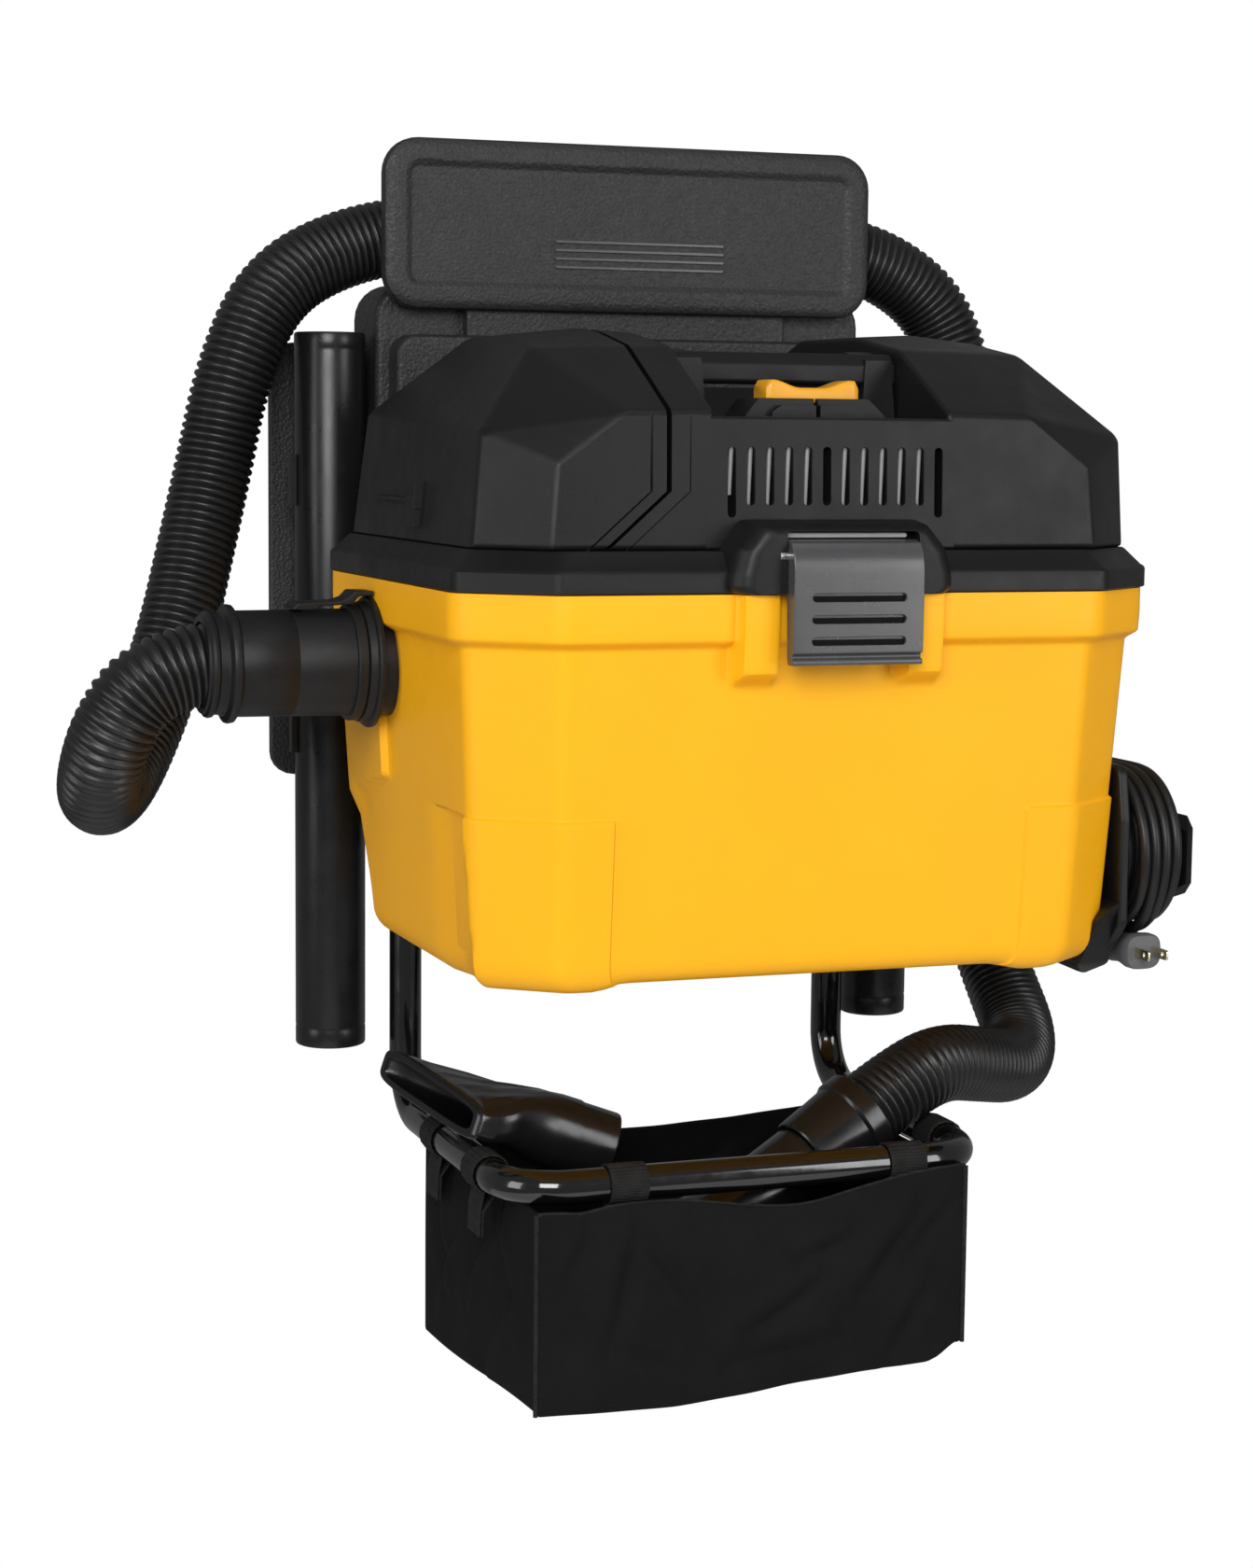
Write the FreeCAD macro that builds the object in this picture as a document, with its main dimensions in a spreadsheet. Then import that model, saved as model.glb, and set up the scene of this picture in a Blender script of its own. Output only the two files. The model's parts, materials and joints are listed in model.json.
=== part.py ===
import FreeCAD, Part
import math
import os
import re
import Sketcher

# Wall-mounted wet and dry vacuum cleaner on its bracket, with hose, two wands and a tool bag.
# Frame: millimetres, the wall is the plane Y = 0 and the vacuum stands out towards -Y, +Z is up,
# +X is the viewer's right. The origin is the centre of the four wall bolts, level with the lid's seam.

Vector = FreeCAD.Vector
Rotation = FreeCAD.Rotation
Placement = FreeCAD.Placement

SIZES = {
    # bracket
    "bracket_half": 177, "bracket_top": 190, "bracket_low": -150, "bracket_deep": 64,
    "face_half": 168, "face_top": 155, "face_deep": 86, "shell": 4,
    "wing_half": 237, "wing_top": 150, "wing_low": -148, "wing_thick": 8,
    "bolt_half": 203.2, "bolt_rise": 100, "bolt_radius": 3.5,
    "panel_half": 176, "panel_low": 172, "panel_top": 285, "panel_front": 84, "panel_back": 73,
    "panel_border": 30, "panel_recess": 2,
    # frame tube and bag
    "rail_half": 158, "rail_radius": 11, "rail_inner": 9.5, "rail_back": 72, "rail_front": 320,
    "rail_level": -374, "rail_bend": 38, "rail_end": -156, "socket_radius": 15,
    "bag_left": -160, "bag_right": 153, "bag_front": 340, "bag_back": 124,
    "bag_top": -390, "bag_floor": -516, "bag_wall": 3, "bag_corner": 22,
    "strap_wide": 26, "strap_thick": 1.6,
    # wands
    "wand_x": 205, "wand_y": 48, "wand_radius": 24, "wand_wall": 2, "wand_top": 156, "wand_low": -331,
    "clip_gap": 0.35, "clip_thick": 3.5, "clip_high": 34, "clip_upper": 40, "clip_lower": -128,
    # tub
    "rim_half": 222, "rim_front": 445, "rim_back": 108, "rim_corner": 50, "rim_corner_y": 41,
    "rim_low": -27, "body_half": 215, "body_front": 437, "body_back": 115,
    "low_half": 204, "low_front": 421, "low_back": 125, "low_level": -222,
    "foot_half": 195, "foot_front": 411, "foot_back": 135, "tub_floor": -232,
    "tub_wall": 3.5, "band_top": -131, "band_proud": 2.5, "band_gap": 132, "rib_x": 54,
    # inlet and hose
    "port_y": -223, "port_z": -53, "port_radius": 34, "flange_radius": 41, "flange_out": 232,
    "cuff_radius": 33.5, "cuff_bore": 24, "cuff_out": 311, "ring_out": 331, "ring_radius": 37,
    "hose_radius": 26, "hose_bore": 24.6, "hose_seat": 9.8,
    # lid and head
    "lid_top": 13, "lid_lip": 24, "seam": 0.6,
    "slot_pitch": 11.2, "slot_wide": 4.5, "slot_low": 50, "slot_high": 84,
    "latch_half": 39, "pivot_y": 457, "pivot_z": 22, "pin_radius": 2.5,
    "switch_y": -388, "switch_half": 30,
    # inside the head
    "core_y": -268, "motor_radius": 44, "fan_radius": 66, "cage_radius": 46, "filter_radius": 72,
    "filter_low": -150, "ball_radius": 19, "shaft_radius": 4,
    # cord
    "cord_radius": 3.5, "wrap_y": -335, "wrap_z": -168, "wrap_in": 219, "wrap_out": 258,
    "wrap_high": 24, "wrap_long": 47, "coil_deep": 28, "plug_x": 237,
}

doc = FreeCAD.newDocument("wall_vacuum")
sheet = doc.addObject("Spreadsheet::Sheet", "Sizes")
for row, (alias, number) in enumerate(SIZES.items(), start=1):
    sheet.set(f"A{row}", alias)
    sheet.set(f"B{row}", str(number))
    sheet.setAlias(f"B{row}", alias)
doc.recompute()

PIECES = {}


def size(alias):
    """A driving dimension, read from the sheet."""
    return float(getattr(sheet, alias))


def bound(text):
    """An expression with each alias in it pointed at the sheet."""
    return re.sub(r"[a-z_]\w*", lambda word: f"Sizes.{word[0]}" if word[0] in SIZES else word[0], str(text))


def bind(thing, path, text):
    thing.setExpression(path, bound(text))


def place(thing, x, y, z, rotation=Rotation()):
    thing.Placement = Placement(Vector(), rotation)
    for letter, text in zip("xyz", (x, y, z)):
        bind(thing, f"Placement.Base.{letter}", text)
    return thing


def box(x, y, z):
    """A block between pairs of expressions along each axis."""
    block = doc.addObject("Part::Box", "Block")
    for path, (low, high) in zip(("Length", "Width", "Height"), (x, y, z)):
        bind(block, path, f"({high}) - ({low})")
    return place(block, x[0], y[0], z[0])


TURNS = {"x": Rotation(Vector(0, 1, 0), 90), "y": Rotation(Vector(1, 0, 0), -90), "z": Rotation()}


def rod(axis, at, span, radius, top=None):
    """A cylinder, or a cone where top is given, along an axis; at holds the other two coordinates."""
    low, high = span
    round_one = doc.addObject("Part::Cylinder" if top is None else "Part::Cone", "Rod")
    bind(round_one, "Height", f"({high}) - ({low})")
    if top is None:
        bind(round_one, "Radius", radius)
    else:
        bind(round_one, "Radius1", radius)
        bind(round_one, "Radius2", top)
    spot = {"x": (low, *at), "y": (at[0], low, at[1]), "z": (*at, low)}[axis]
    return place(round_one, *spot, TURNS[axis])


def ball(x, y, z, radius):
    sphere = doc.addObject("Part::Sphere", "Ball")
    bind(sphere, "Radius", radius)
    return place(sphere, x, y, z)


def joined(*parts):
    if len(parts) == 1:
        return parts[0]
    union = doc.addObject("Part::MultiFuse", "Joined")
    union.Shapes = list(parts)
    union.Refine = True
    return union


def cut(base, *tools):
    cut_one = doc.addObject("Part::Cut", "Hollowed")
    cut_one.Base = base
    cut_one.Tool = joined(*tools)
    cut_one.Refine = True
    return cut_one


def common(*parts):
    shared = doc.addObject("Part::MultiCommon", "Shared")
    shared.Shapes = list(parts)
    shared.Refine = True
    return shared


def shaped(shape):
    """A solid that neither a body nor a primitive can make, such as a facetted cover or a bent tube."""
    feature = doc.addObject("Part::Feature", "Shaped")
    feature.Shape = shape
    feature.Placement = Placement()
    return feature


def outline(body, plane, points, level="0"):
    """A closed sketch of straight lines on one of the body's planes; each corner is bound to the sheet."""
    sketch = body.newObject("Sketcher::SketchObject", "Outline")
    origin = next(part for part in body.Origin.OriginFeatures if part.Role == plane)
    sketch.AttachmentSupport = [(origin, "")]
    sketch.MapMode = "FlatFace"
    bind(sketch, "AttachmentOffset.Base.z", level)
    count = len(points)
    corners = [
        Vector(10 * math.cos(math.tau * corner / count), 10 * math.sin(math.tau * corner / count), 0)
        for corner in range(count)
    ]
    lines = [Part.LineSegment(corners[i], corners[(i + 1) % count]) for i in range(count)]
    sketch.addGeometry(lines, False)
    for corner, (across, up) in enumerate(points):
        sketch.addConstraint(Sketcher.Constraint("Coincident", corner, 2, (corner + 1) % count, 1))
        for kind, start, text in (
            ("DistanceX", corners[corner].x, across),
            ("DistanceY", corners[corner].y, up),
        ):
            place_of = sketch.addConstraint(Sketcher.Constraint(kind, -1, 1, corner, 1, start))
            name = f"{kind[-1].lower()}{corner}"
            sketch.renameConstraint(place_of, name)
            bind(sketch, f"Constraints.{name}", text)
    return sketch


def prism(plane, points, span):
    """A padded outline between two expressions along the plane's own world axis."""
    low, high = span
    body = doc.addObject("PartDesign::Body", "Prism")
    level = f"-({high})" if plane == "XZ_Plane" else low
    pad = body.newObject("PartDesign::Pad", "Pad")
    pad.Profile = outline(body, plane, points, level)
    bind(pad, "Length", f"({high}) - ({low})")
    return body


def lofted(sections):
    """A ruled loft through level outlines: pairs of height and points."""
    body = doc.addObject("PartDesign::Body", "Loft")
    sketches = [outline(body, "XY_Plane", points, level) for level, points in sections]
    loft = body.newObject("PartDesign::AdditiveLoft", "Loft")
    loft.Profile = sketches[0]
    loft.Sections = sketches[1:]
    loft.Ruled = True
    return body


def softened(base, radius, keep):
    """Rounds the edges that keep() accepts."""
    doc.recompute()
    edges = [number for number, edge in enumerate(base.Shape.Edges, start=1) if keep(edge)]
    rounded = doc.addObject("Part::Fillet", "Softened")
    rounded.Base = base
    rounded.Edges = [(number, radius, radius) for number in edges]
    return rounded


def along(axis, least=0.0):
    """Accepts straight edges that run along an axis and are longer than least."""

    def keep(edge):
        if not isinstance(edge.Curve, Part.Line) or edge.Length <= least:
            return False
        run = edge.Vertexes[1].Point - edge.Vertexes[0].Point
        return abs(abs(run.normalize().dot(axis)) - 1) < 1e-6

    return keep


def piece(label, feature):
    """Names a sub-part; its label is its file's name."""
    feature.Label = label
    PIECES[label] = feature
    return feature


def route(points, name, diameter):
    """Straight runs joined by tangent arcs as large as their two runs allow."""
    corners = [Vector(*point) for point in points]
    edges = []
    radii = []
    start = corners[0]
    for before, corner, after in zip(corners, corners[1:], corners[2:]):
        into = (corner - before).normalize()
        out = (after - corner).normalize()
        half = into.getAngle(out) / 2
        reach = 0.45 * min((corner - before).Length, (after - corner).Length)
        radii.append(reach / math.tan(half))
        first = corner - into * reach
        last = corner + out * reach
        middle = (out - into).normalize()
        centre_away = radii[-1] / math.cos(half)
        mid = corner + middle * (centre_away - radii[-1])
        edges.append(Part.LineSegment(start, first).toShape())
        edges.append(Part.Arc(first, mid, last).toShape())
        start = last
    edges.append(Part.LineSegment(start, corners[-1]).toShape())
    wire = Part.Wire(edges)
    print(f"{name}: {wire.Length:.0f} mm long, radii {[round(radius) for radius in radii]}")
    print(f"{name}: tightest {min(radii):.0f} mm, {min(radii) / diameter:.1f} diameters")
    return wire


def bent_tube(points, name, outer, inner=0.0):
    """A round tube along a route, compared with its section times its length."""
    wire = route(points, name, 2 * outer)
    start = Vector(*points[0])
    ahead = Vector(*points[1]) - start

    def ring(radius):
        return Part.Wire(Part.makeCircle(radius, start, ahead))

    solid = wire.makePipeShell([ring(outer)], True, False)
    area = math.pi * outer**2
    if inner:
        solid = solid.cut(wire.makePipeShell([ring(inner)], True, False))
        area -= math.pi * inner**2
    share = solid.Volume / (area * wire.Length)
    print(f"{name}: volume is {share:.3f} of section times length")
    return shaped(solid)


FLAT = 1e-4


def facetted(points):
    """The convex solid whose corners are the given points."""
    corners = [Vector(*point) for point in points]
    middle = sum(corners, Vector()) * (1 / len(corners))
    faces = {}
    count = len(corners)
    for i in range(count):
        for j in range(i + 1, count):
            for k in range(j + 1, count):
                normal = (corners[j] - corners[i]).cross(corners[k] - corners[i])
                if normal.Length < 1e-6:
                    continue
                normal.normalize()
                if normal.dot(middle - corners[i]) > 0:
                    normal = -normal
                heights = [normal.dot(corner - corners[i]) for corner in corners]
                if max(heights) > FLAT:
                    continue
                flat = tuple(index for index, height in enumerate(heights) if height > -FLAT)
                faces[flat] = normal
    shell = [flat_face([corners[index] for index in flat], normal) for flat, normal in faces.items()]
    return Part.makeSolid(Part.makeShell(shell))


def flat_face(corners, normal):
    """A convex face through its corners, put in order round their middle."""
    middle = sum(corners, Vector()) * (1 / len(corners))
    across = (corners[0] - middle).normalize()
    up = normal.cross(across)
    ordered = sorted(
        corners, key=lambda spot: math.atan2((spot - middle).dot(up), (spot - middle).dot(across))
    )
    return Part.Face(Part.makePolygon([*ordered, ordered[0]]))


def octagon(half, front, back, corner, corner_y, back_corner=28):
    """A plan of the tub or lid: bevelled at the front corners and less at the back ones."""
    right = [
        (f"({half}) - ({corner})", f"-({front})"),
        (f"{half}", f"-({front}) + ({corner_y})"),
        (f"{half}", f"-({back}) - {back_corner}"),
        (f"({half}) - {back_corner}", f"-({back})"),
    ]
    left = [(f"-({across})", along_y) for across, along_y in reversed(right)]
    return right + left


SIDES = {"left": -1, "right": 1}
UP = Vector(0, 0, 1)
DEEP = Vector(0, 1, 0)


# Bracket: a deep hollow block on the wall with a wing behind each wand.

block = box(("-bracket_half", "bracket_half"), ("-bracket_deep", 0), ("bracket_low", "bracket_top"))
block = softened(block, 22, along(DEEP))
face = box(("-face_half", "face_half"), ("-face_deep", "-bracket_deep"), ("bracket_low", "face_top"))
face = softened(face, 14, along(DEEP))
wings = softened(
    box(("-wing_half", "wing_half"), ("-wing_thick", 0), ("wing_low", "wing_top")), 16, along(DEEP)
)
hollow = box(
    ("shell - bracket_half", "bracket_half - shell"),
    ("shell - face_deep", 1),
    ("bracket_low + shell", "face_top - shell"),
)
hollow = common(hollow, box(("shell - face_half", "face_half - shell"), (-200, 2), (-200, 200)))
bolts = [
    rod("y", (f"{side} * bolt_half", f"{level} * bolt_rise"), ("-wing_thick - 1", 1), "bolt_radius")
    for side in (-1, 1)
    for level in (-1, 1)
]
piece("wall_bracket", cut(joined(block, face, wings), hollow, *bolts))

# Hook panel: the shield that keeps the hose on top of the bracket.
panel = softened(
    box(("-panel_half", "panel_half"), ("-panel_front", "-panel_back"), ("panel_low", "panel_top")),
    20,
    along(DEEP),
)
foot = box(("60 - panel_half", "panel_half - 60"), ("-panel_back", "-bracket_deep"), ("panel_low", 184))
recess = box(
    ("panel_border - panel_half", "panel_half - panel_border"),
    ("-panel_front - 1", "panel_recess - panel_front"),
    ("panel_low + 14", "panel_top - 15"),
)
piece("hook_panel", cut(joined(panel, foot), softened(recess, 8, along(DEEP))))

# Cleat on the bracket, and the hook on the tub's rim that hangs in it.
cleat = prism(
    "YZ_Plane",
    [("-face_deep", -40), ("-104", -40), ("-104", -16), ("-100", -16), ("-100", -34), ("-face_deep", -34)],
    (-110, 110),
)
piece("hang_cleat", cleat)
hook = prism(
    "YZ_Plane",
    [("-rim_back", -15.5), ("-98.5", -15.5), ("-98.5", -33), ("-91", -33), ("-91", -6), ("-rim_back", -6)],
    (-104, 104),
)
piece("tub_hook", hook)
for side, sign in SIDES.items():
    piece(f"bumper_{side}", rod("y", (120 * sign, -130), (-117.2, "-face_deep"), 12))

# Spring clips on the wings, open towards the front.
for side, sign in SIDES.items():
    for level in ("upper", "lower"):
        span = (f"clip_{level}", f"clip_{level} + clip_high")
        centre = (f"{sign} * wand_x", "-wand_y")
        grip = rod("z", centre, span, "wand_radius + clip_gap + clip_thick")
        arm = box(
            (f"{sign} * wand_x - 14", f"{sign} * wand_x + 14"), ("wand_radius - wand_y", "-wing_thick"), span
        )
        inside = rod("z", centre, ("wing_low - 50", "wing_top + 50"), "wand_radius + clip_gap")
        mouth = box(
            (f"{sign} * wand_x - 40", f"{sign} * wand_x + 40"), ("-wand_y - 40", "-wand_y - 4"), (-200, 200)
        )
        piece(f"wand_clip_{side}_{level}", cut(joined(grip, arm), inside, mouth))

# Wands: plain tubes, straight up beside the bracket.
for side, sign in SIDES.items():
    centre = (f"{sign} * wand_x", "-wand_y")
    shell = rod("z", centre, ("wand_low", "wand_top"), "wand_radius")
    bore = rod("z", centre, ("wand_low - 1", "wand_top + 1"), "wand_radius - wand_wall")
    piece(f"wand_{side}", cut(shell, bore))

# Frame: one bent steel tube, up into a socket at each end.
rail_half, rail_front, rail_level = size("rail_half"), size("rail_front"), size("rail_level")
rail_back, rail_bend, rail_end = size("rail_back"), size("rail_bend"), size("rail_end")


def rail_path():
    """Half of the frame's centre line and its mirror image, with round bends."""
    swing = rail_bend * (1 - math.sqrt(0.5))
    half = [
        ("line", (rail_half, -rail_back, rail_end), (rail_half, -rail_back, rail_level + rail_bend)),
        (
            "arc",
            (rail_half, -rail_back, rail_level + rail_bend),
            (rail_half, -rail_back - swing, rail_level + swing),
            (rail_half, -rail_back - rail_bend, rail_level),
        ),
        (
            "line",
            (rail_half, -rail_back - rail_bend, rail_level),
            (rail_half, -rail_front + rail_bend, rail_level),
        ),
        (
            "arc",
            (rail_half, -rail_front + rail_bend, rail_level),
            (rail_half - swing, -rail_front + swing, rail_level),
            (rail_half - rail_bend, -rail_front, rail_level),
        ),
    ]
    across = [("line", half[-1][-1], (rail_bend - rail_half, -rail_front, rail_level))]
    mirrored = [
        (kind, *[(-spot[0], spot[1], spot[2]) for spot in reversed(spots)]) for kind, *spots in reversed(half)
    ]
    edges = []
    for kind, *spots in half + across + mirrored:
        vectors = [Vector(*spot) for spot in spots]
        edge = Part.LineSegment(*vectors) if kind == "line" else Part.Arc(*vectors)
        edges.append(edge.toShape())
    return Part.Wire(edges)


def rail_ring(radius):
    return Part.Wire(Part.makeCircle(radius, Vector(rail_half, -rail_back, rail_end), Vector(0, 0, -1)))


path = rail_path()
rail = path.makePipeShell([rail_ring(size("rail_radius"))], True, False)
rail = rail.cut(path.makePipeShell([rail_ring(size("rail_inner"))], True, False))
piece("frame_tube", shaped(rail))
for side, sign in SIDES.items():
    centre = (f"{sign} * rail_half", "-rail_back")
    socket = rod("z", centre, (-196, "bracket_low - 0.2"), "socket_radius")
    bore = rod("z", centre, (-200, "rail_end"), "rail_radius + 0.1")
    lug_wide = (f"{sign} * rail_half - socket_radius", f"{sign} * rail_half + socket_radius")
    lug = box(lug_wide, ("-rail_back", -4), (-176, "bracket_low - 0.2"))
    piece(f"frame_socket_{side}", cut(joined(socket, lug), bore))

# Bag: an open sewn box hung under the rail, and the webbing loops that hold it.
bag = softened(
    box(("bag_left", "bag_right"), ("-bag_front", "-bag_back"), ("bag_floor", "bag_top")),
    size("bag_corner"),
    along(UP),
)
inside = softened(
    box(
        ("bag_left + bag_wall", "bag_right - bag_wall"),
        ("bag_wall - bag_front", "-bag_back - bag_wall"),
        ("bag_floor + bag_wall", "bag_top + 1"),
    ),
    size("bag_corner") - size("bag_wall"),
    along(UP),
)
piece("bag", cut(bag, inside))
STRAP_HANG = -414
for name, at in {"front_left": -85, "front_right": 105}.items():
    centre = ("-rail_front", "rail_level")
    wide = (f"{at} - strap_wide / 2", f"{at} + strap_wide / 2")
    loop = rod("x", (centre[0], centre[1]), wide, "rail_radius + 0.4 + strap_thick")
    tongue = box(
        wide,
        ("bag_wall + 0.2 - bag_front", "-rail_front - rail_radius - 1"),
        (STRAP_HANG, "rail_level - 3"),
    )
    hole = rod("x", (centre[0], centre[1]), ("-rail_half", "rail_half"), "rail_radius + 0.4")
    piece(f"strap_{name}", cut(joined(loop, tongue), hole))
TONGUES = {
    "left": ("bag_left + bag_wall + 0.2", "bag_left + bag_wall + 0.2 + strap_thick"),
    "right": ("bag_right - bag_wall - 0.2 - strap_thick", "bag_right - bag_wall - 0.2"),
}
for side, sign in SIDES.items():
    for name, at in {"front": -262, "back": -166}.items():
        wide = (f"{at} - strap_wide / 2", f"{at} + strap_wide / 2")
        centre = (f"{sign} * rail_half", "rail_level")
        loop = rod("y", centre, wide, "rail_radius + 0.4 + strap_thick")
        tongue = box(TONGUES[side], wide, (STRAP_HANG, "rail_level - 10"))
        hole = rod("y", centre, ("-rail_front", "-rail_back"), "rail_radius + 0.4")
        piece(f"strap_{side}_{name}", cut(joined(loop, tongue), hole))

# Tub: a tapered open shell with a stepped rim, a proud band round its foot and ribs beside the latch.
body_plan = octagon("body_half", "body_front", "body_back", 48, 39)
low_plan = octagon("low_half", "low_front", "low_back", 42, 34)
foot_plan = octagon("foot_half", "foot_front", "foot_back", 36, 29)
rim = prism(
    "XY_Plane",
    octagon("rim_half", "rim_front", "rim_back", "rim_corner", "rim_corner_y"),
    ("rim_low", "-seam"),
)
walls = lofted([("low_level", low_plan), ("rim_low", body_plan)])
base = lofted([("tub_floor", foot_plan), ("low_level", low_plan)])
band = cut(
    lofted(
        [
            (
                "low_level",
                octagon("low_half + band_proud", "low_front + band_proud", "low_back - band_proud", 42, 34),
            ),
            (
                "band_top",
                octagon(
                    "(low_half + body_half) / 2 + band_proud",
                    "(low_front + body_front) / 2 + band_proud",
                    "(low_back + body_back) / 2 - band_proud",
                    45,
                    36.5,
                ),
            ),
        ]
    ),
    box(("-band_gap", "band_gap"), (-460, -380), (-240, -100)),
)
ribs = [
    box((f"{sign} * rib_x - 8", f"{sign} * rib_x + 8"), (-453, "-body_front"), (-52, "-seam"))
    for sign in (-1, 1)
]
cavity = lofted(
    [
        (
            "tub_floor + tub_wall",
            octagon("foot_half - tub_wall", "foot_front - tub_wall", "foot_back + tub_wall", 36, 29),
        ),
        (
            "low_level",
            octagon("low_half - tub_wall", "low_front - tub_wall", "low_back + tub_wall", 42, 34),
        ),
        (
            5,
            octagon("body_half - tub_wall", "body_front - tub_wall", "body_back + tub_wall", 48, 39),
        ),
    ]
)
port_hole = rod("x", ("port_y", "port_z"), (-240, -180), "port_radius + 0.3")
piece("tub", cut(joined(rim, walls, base, band, *ribs), cavity, port_hole))

# Inlet: a flanged port through the tub's left wall, and the elbow inside that turns the air down.
flange = rod("x", ("port_y", "port_z"), ("-flange_out", -222.5), "flange_radius")
sleeve = rod("x", ("port_y", "port_z"), (-222.5, -196), "port_radius")
bore = rod("x", ("port_y", "port_z"), (-240, -190), "port_radius - 4")
piece("inlet_port", cut(joined(flange, sleeve), bore))
elbow = box((-195.8, -140), ("port_y - 36", "port_y + 36"), ("port_z - 36", "port_z + 34"))
elbow_room = box((-200, -144), ("port_y - 33", "port_y + 33"), ("port_z - 40", "port_z + 31"))
piece("inlet_elbow", cut(softened(elbow, 10, along(DEEP, 60)), elbow_room))

# Hose cuff with its lock clip, the collar on the hose, the hose, and the tool on its far end.
cuff = rod("x", ("port_y", "port_z"), ("-cuff_out", "-flange_out - 0.2"), "cuff_radius")
cuff_lip = rod("x", ("port_y", "port_z"), ("-flange_out - 7", "-flange_out - 0.2"), "cuff_radius + 3")
bore = rod("x", ("port_y", "port_z"), (-340, -220), "cuff_bore")
piece("hose_cuff", cut(joined(cuff, cuff_lip), bore))
clip = prism(
    "XZ_Plane",
    [
        (-274, "port_z + 36.8"),
        (-240, "port_z + 36.8"),
        (-234, "port_z + 41.6"),
        (-223.4, "port_z + 41.6"),
        (-223.4, "port_z + 45"),
        (-236, "port_z + 45"),
        (-242, "port_z + 41"),
        (-274, "port_z + 41"),
    ],
    ("port_y - 13", "port_y + 13"),
)
clip_foot = box((-274, -258), ("port_y - 13", "port_y + 13"), ("port_z + 34", "port_z + 38"))
clip_seat = rod("x", ("port_y", "port_z"), (-280, -210), "cuff_radius + 0.2")
piece("cuff_clip", cut(joined(clip, clip_foot), clip_seat))
collar = rod("x", ("port_y", "port_z"), ("-ring_out", "-cuff_out - 0.2"), "hose_radius + 4")
collar_lip = rod("x", ("port_y", "port_z"), ("-cuff_out - 6", "-cuff_out - 0.2"), "ring_radius")
bore = rod("x", ("port_y", "port_z"), (-340, -300), "cuff_bore")
hose_seat = rod("x", ("port_y", "port_z"), (-340, "-ring_out + hose_seat"), "hose_radius + 0.2")
piece("hose_collar", cut(joined(collar, collar_lip), bore, hose_seat))

HOSE_ROUTE = [
    (-321.2, -223, -53),
    (-346, -223, -53),
    (-368.5, -223.5, -66),
    (-385, -220, -93),
    (-392, -200, -124),
    (-384, -167, -142),
    (-364, -131, -133),
    (-340, -104, -94),
    (-318, -88, -42),
    (-303, -72, 8),
    (-287, -59, 66),
    (-274, -57, 126),
    (-247.5, -51, 184),
    (-196, -42, 214),
    (-128, -40.5, 227),
    (-35, -40, 229),
    (60, -40, 228),
    (148, -41, 224),
    (205, -42, 213),
    (250, -44, 180),
    (265, -50, 124),
    (267, -50, 40),
    (265, -52, -70),
    (264, -58, -170),
    (270, -76, -245),
    (280, -106, -301),
    (280, -144, -336),
    (254, -183, -349),
    (213, -211, -339),
    (174, -234, -330),
    (138, -250, -338),
    (100, -257, -359.5),
]
hose = bent_tube(HOSE_ROUTE, "hose", size("hose_radius"), size("hose_bore"))
piece("hose", hose)

hose_end = Vector(*HOSE_ROUTE[-1])
hose_heading = (hose_end - Vector(*HOSE_ROUTE[-2])).normalize()
CUFF_LONG, TOOL_LONG = 46, 150


def turned(profile, start, heading, bore_profile):
    """A hollow piece turned about a line: pairs of distance along it and radius."""

    def spun(pairs):
        outline_of = [Vector(0, 0, pairs[0][0])]
        outline_of += [Vector(radius, 0, away) for away, radius in pairs]
        outline_of += [Vector(0, 0, pairs[-1][0]), outline_of[0]]
        return Part.Face(Part.makePolygon(outline_of)).revolve(Vector(), Vector(0, 0, 1), 360)

    shape = spun(profile).cut(spun(bore_profile))
    shape.Placement = Placement(start, Rotation(Vector(0, 0, 1), heading))
    return shape


end_cuff = turned(
    [(0.2, 31), (8, 31), (10, 29), (CUFF_LONG, 27)],
    hose_end,
    hose_heading,
    [(-1, 22), (CUFF_LONG + 1, 22)],
)
def flared_tool(mouth, neck, across, half_wide, half_thick):
    """A wide flat mouth that narrows into a round neck, hollow right through."""
    heading = (neck - mouth).normalize()
    upward = across.cross(heading).normalize()
    sideways = heading.cross(upward)
    long = (neck - mouth).Length

    def slot(away, wide, thick):
        shares = [(1, 0.4), (0.75, 1), (-0.75, 1), (-1, 0.4), (-1, -0.4), (-0.75, -1), (0.75, -1), (1, -0.4)]
        corners = [
            mouth + heading * away + sideways * (wide * a) + upward * (thick * b) for a, b in shares
        ]
        return Part.makePolygon([*corners, corners[0]])

    def flare(first, last, wall):
        sections = [
            slot(first, half_wide - wall, half_thick - wall),
            slot(long * 0.27, half_wide * 0.87 - wall, half_thick + 2 - wall),
            slot(last, 25 - wall, 22 - wall),
        ]
        return Part.makeLoft(sections, True, True)

    outer = flare(0, long * 0.69, 0)
    room = flare(-1, long * 0.7, 3)
    tail = Part.makeCylinder(24, long * 0.36, mouth + heading * long * 0.64, heading)
    tail_bore = Part.makeCylinder(20.5, long * 0.45, mouth + heading * long * 0.6, heading)
    return outer.fuse(tail).cut(room.fuse(tail_bore))


tool_neck = hose_end + hose_heading * (CUFF_LONG + 0.4)
tool_mouth = hose_end + hose_heading * (CUFF_LONG + TOOL_LONG)
piece("hose_end_cuff", shaped(end_cuff))
piece("hose_tool", shaped(flared_tool(tool_mouth, tool_neck, Vector(0, 0, 1), 40, 12)))
nozzle_mouth, nozzle_neck = Vector(-192, -212, -330), Vector(-66, -236, -373)
nozzle_across = Vector(0.45, -0.88, -0.1)
piece("utility_nozzle", shaped(flared_tool(nozzle_mouth, nozzle_neck, nozzle_across, 55, 12)))

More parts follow.
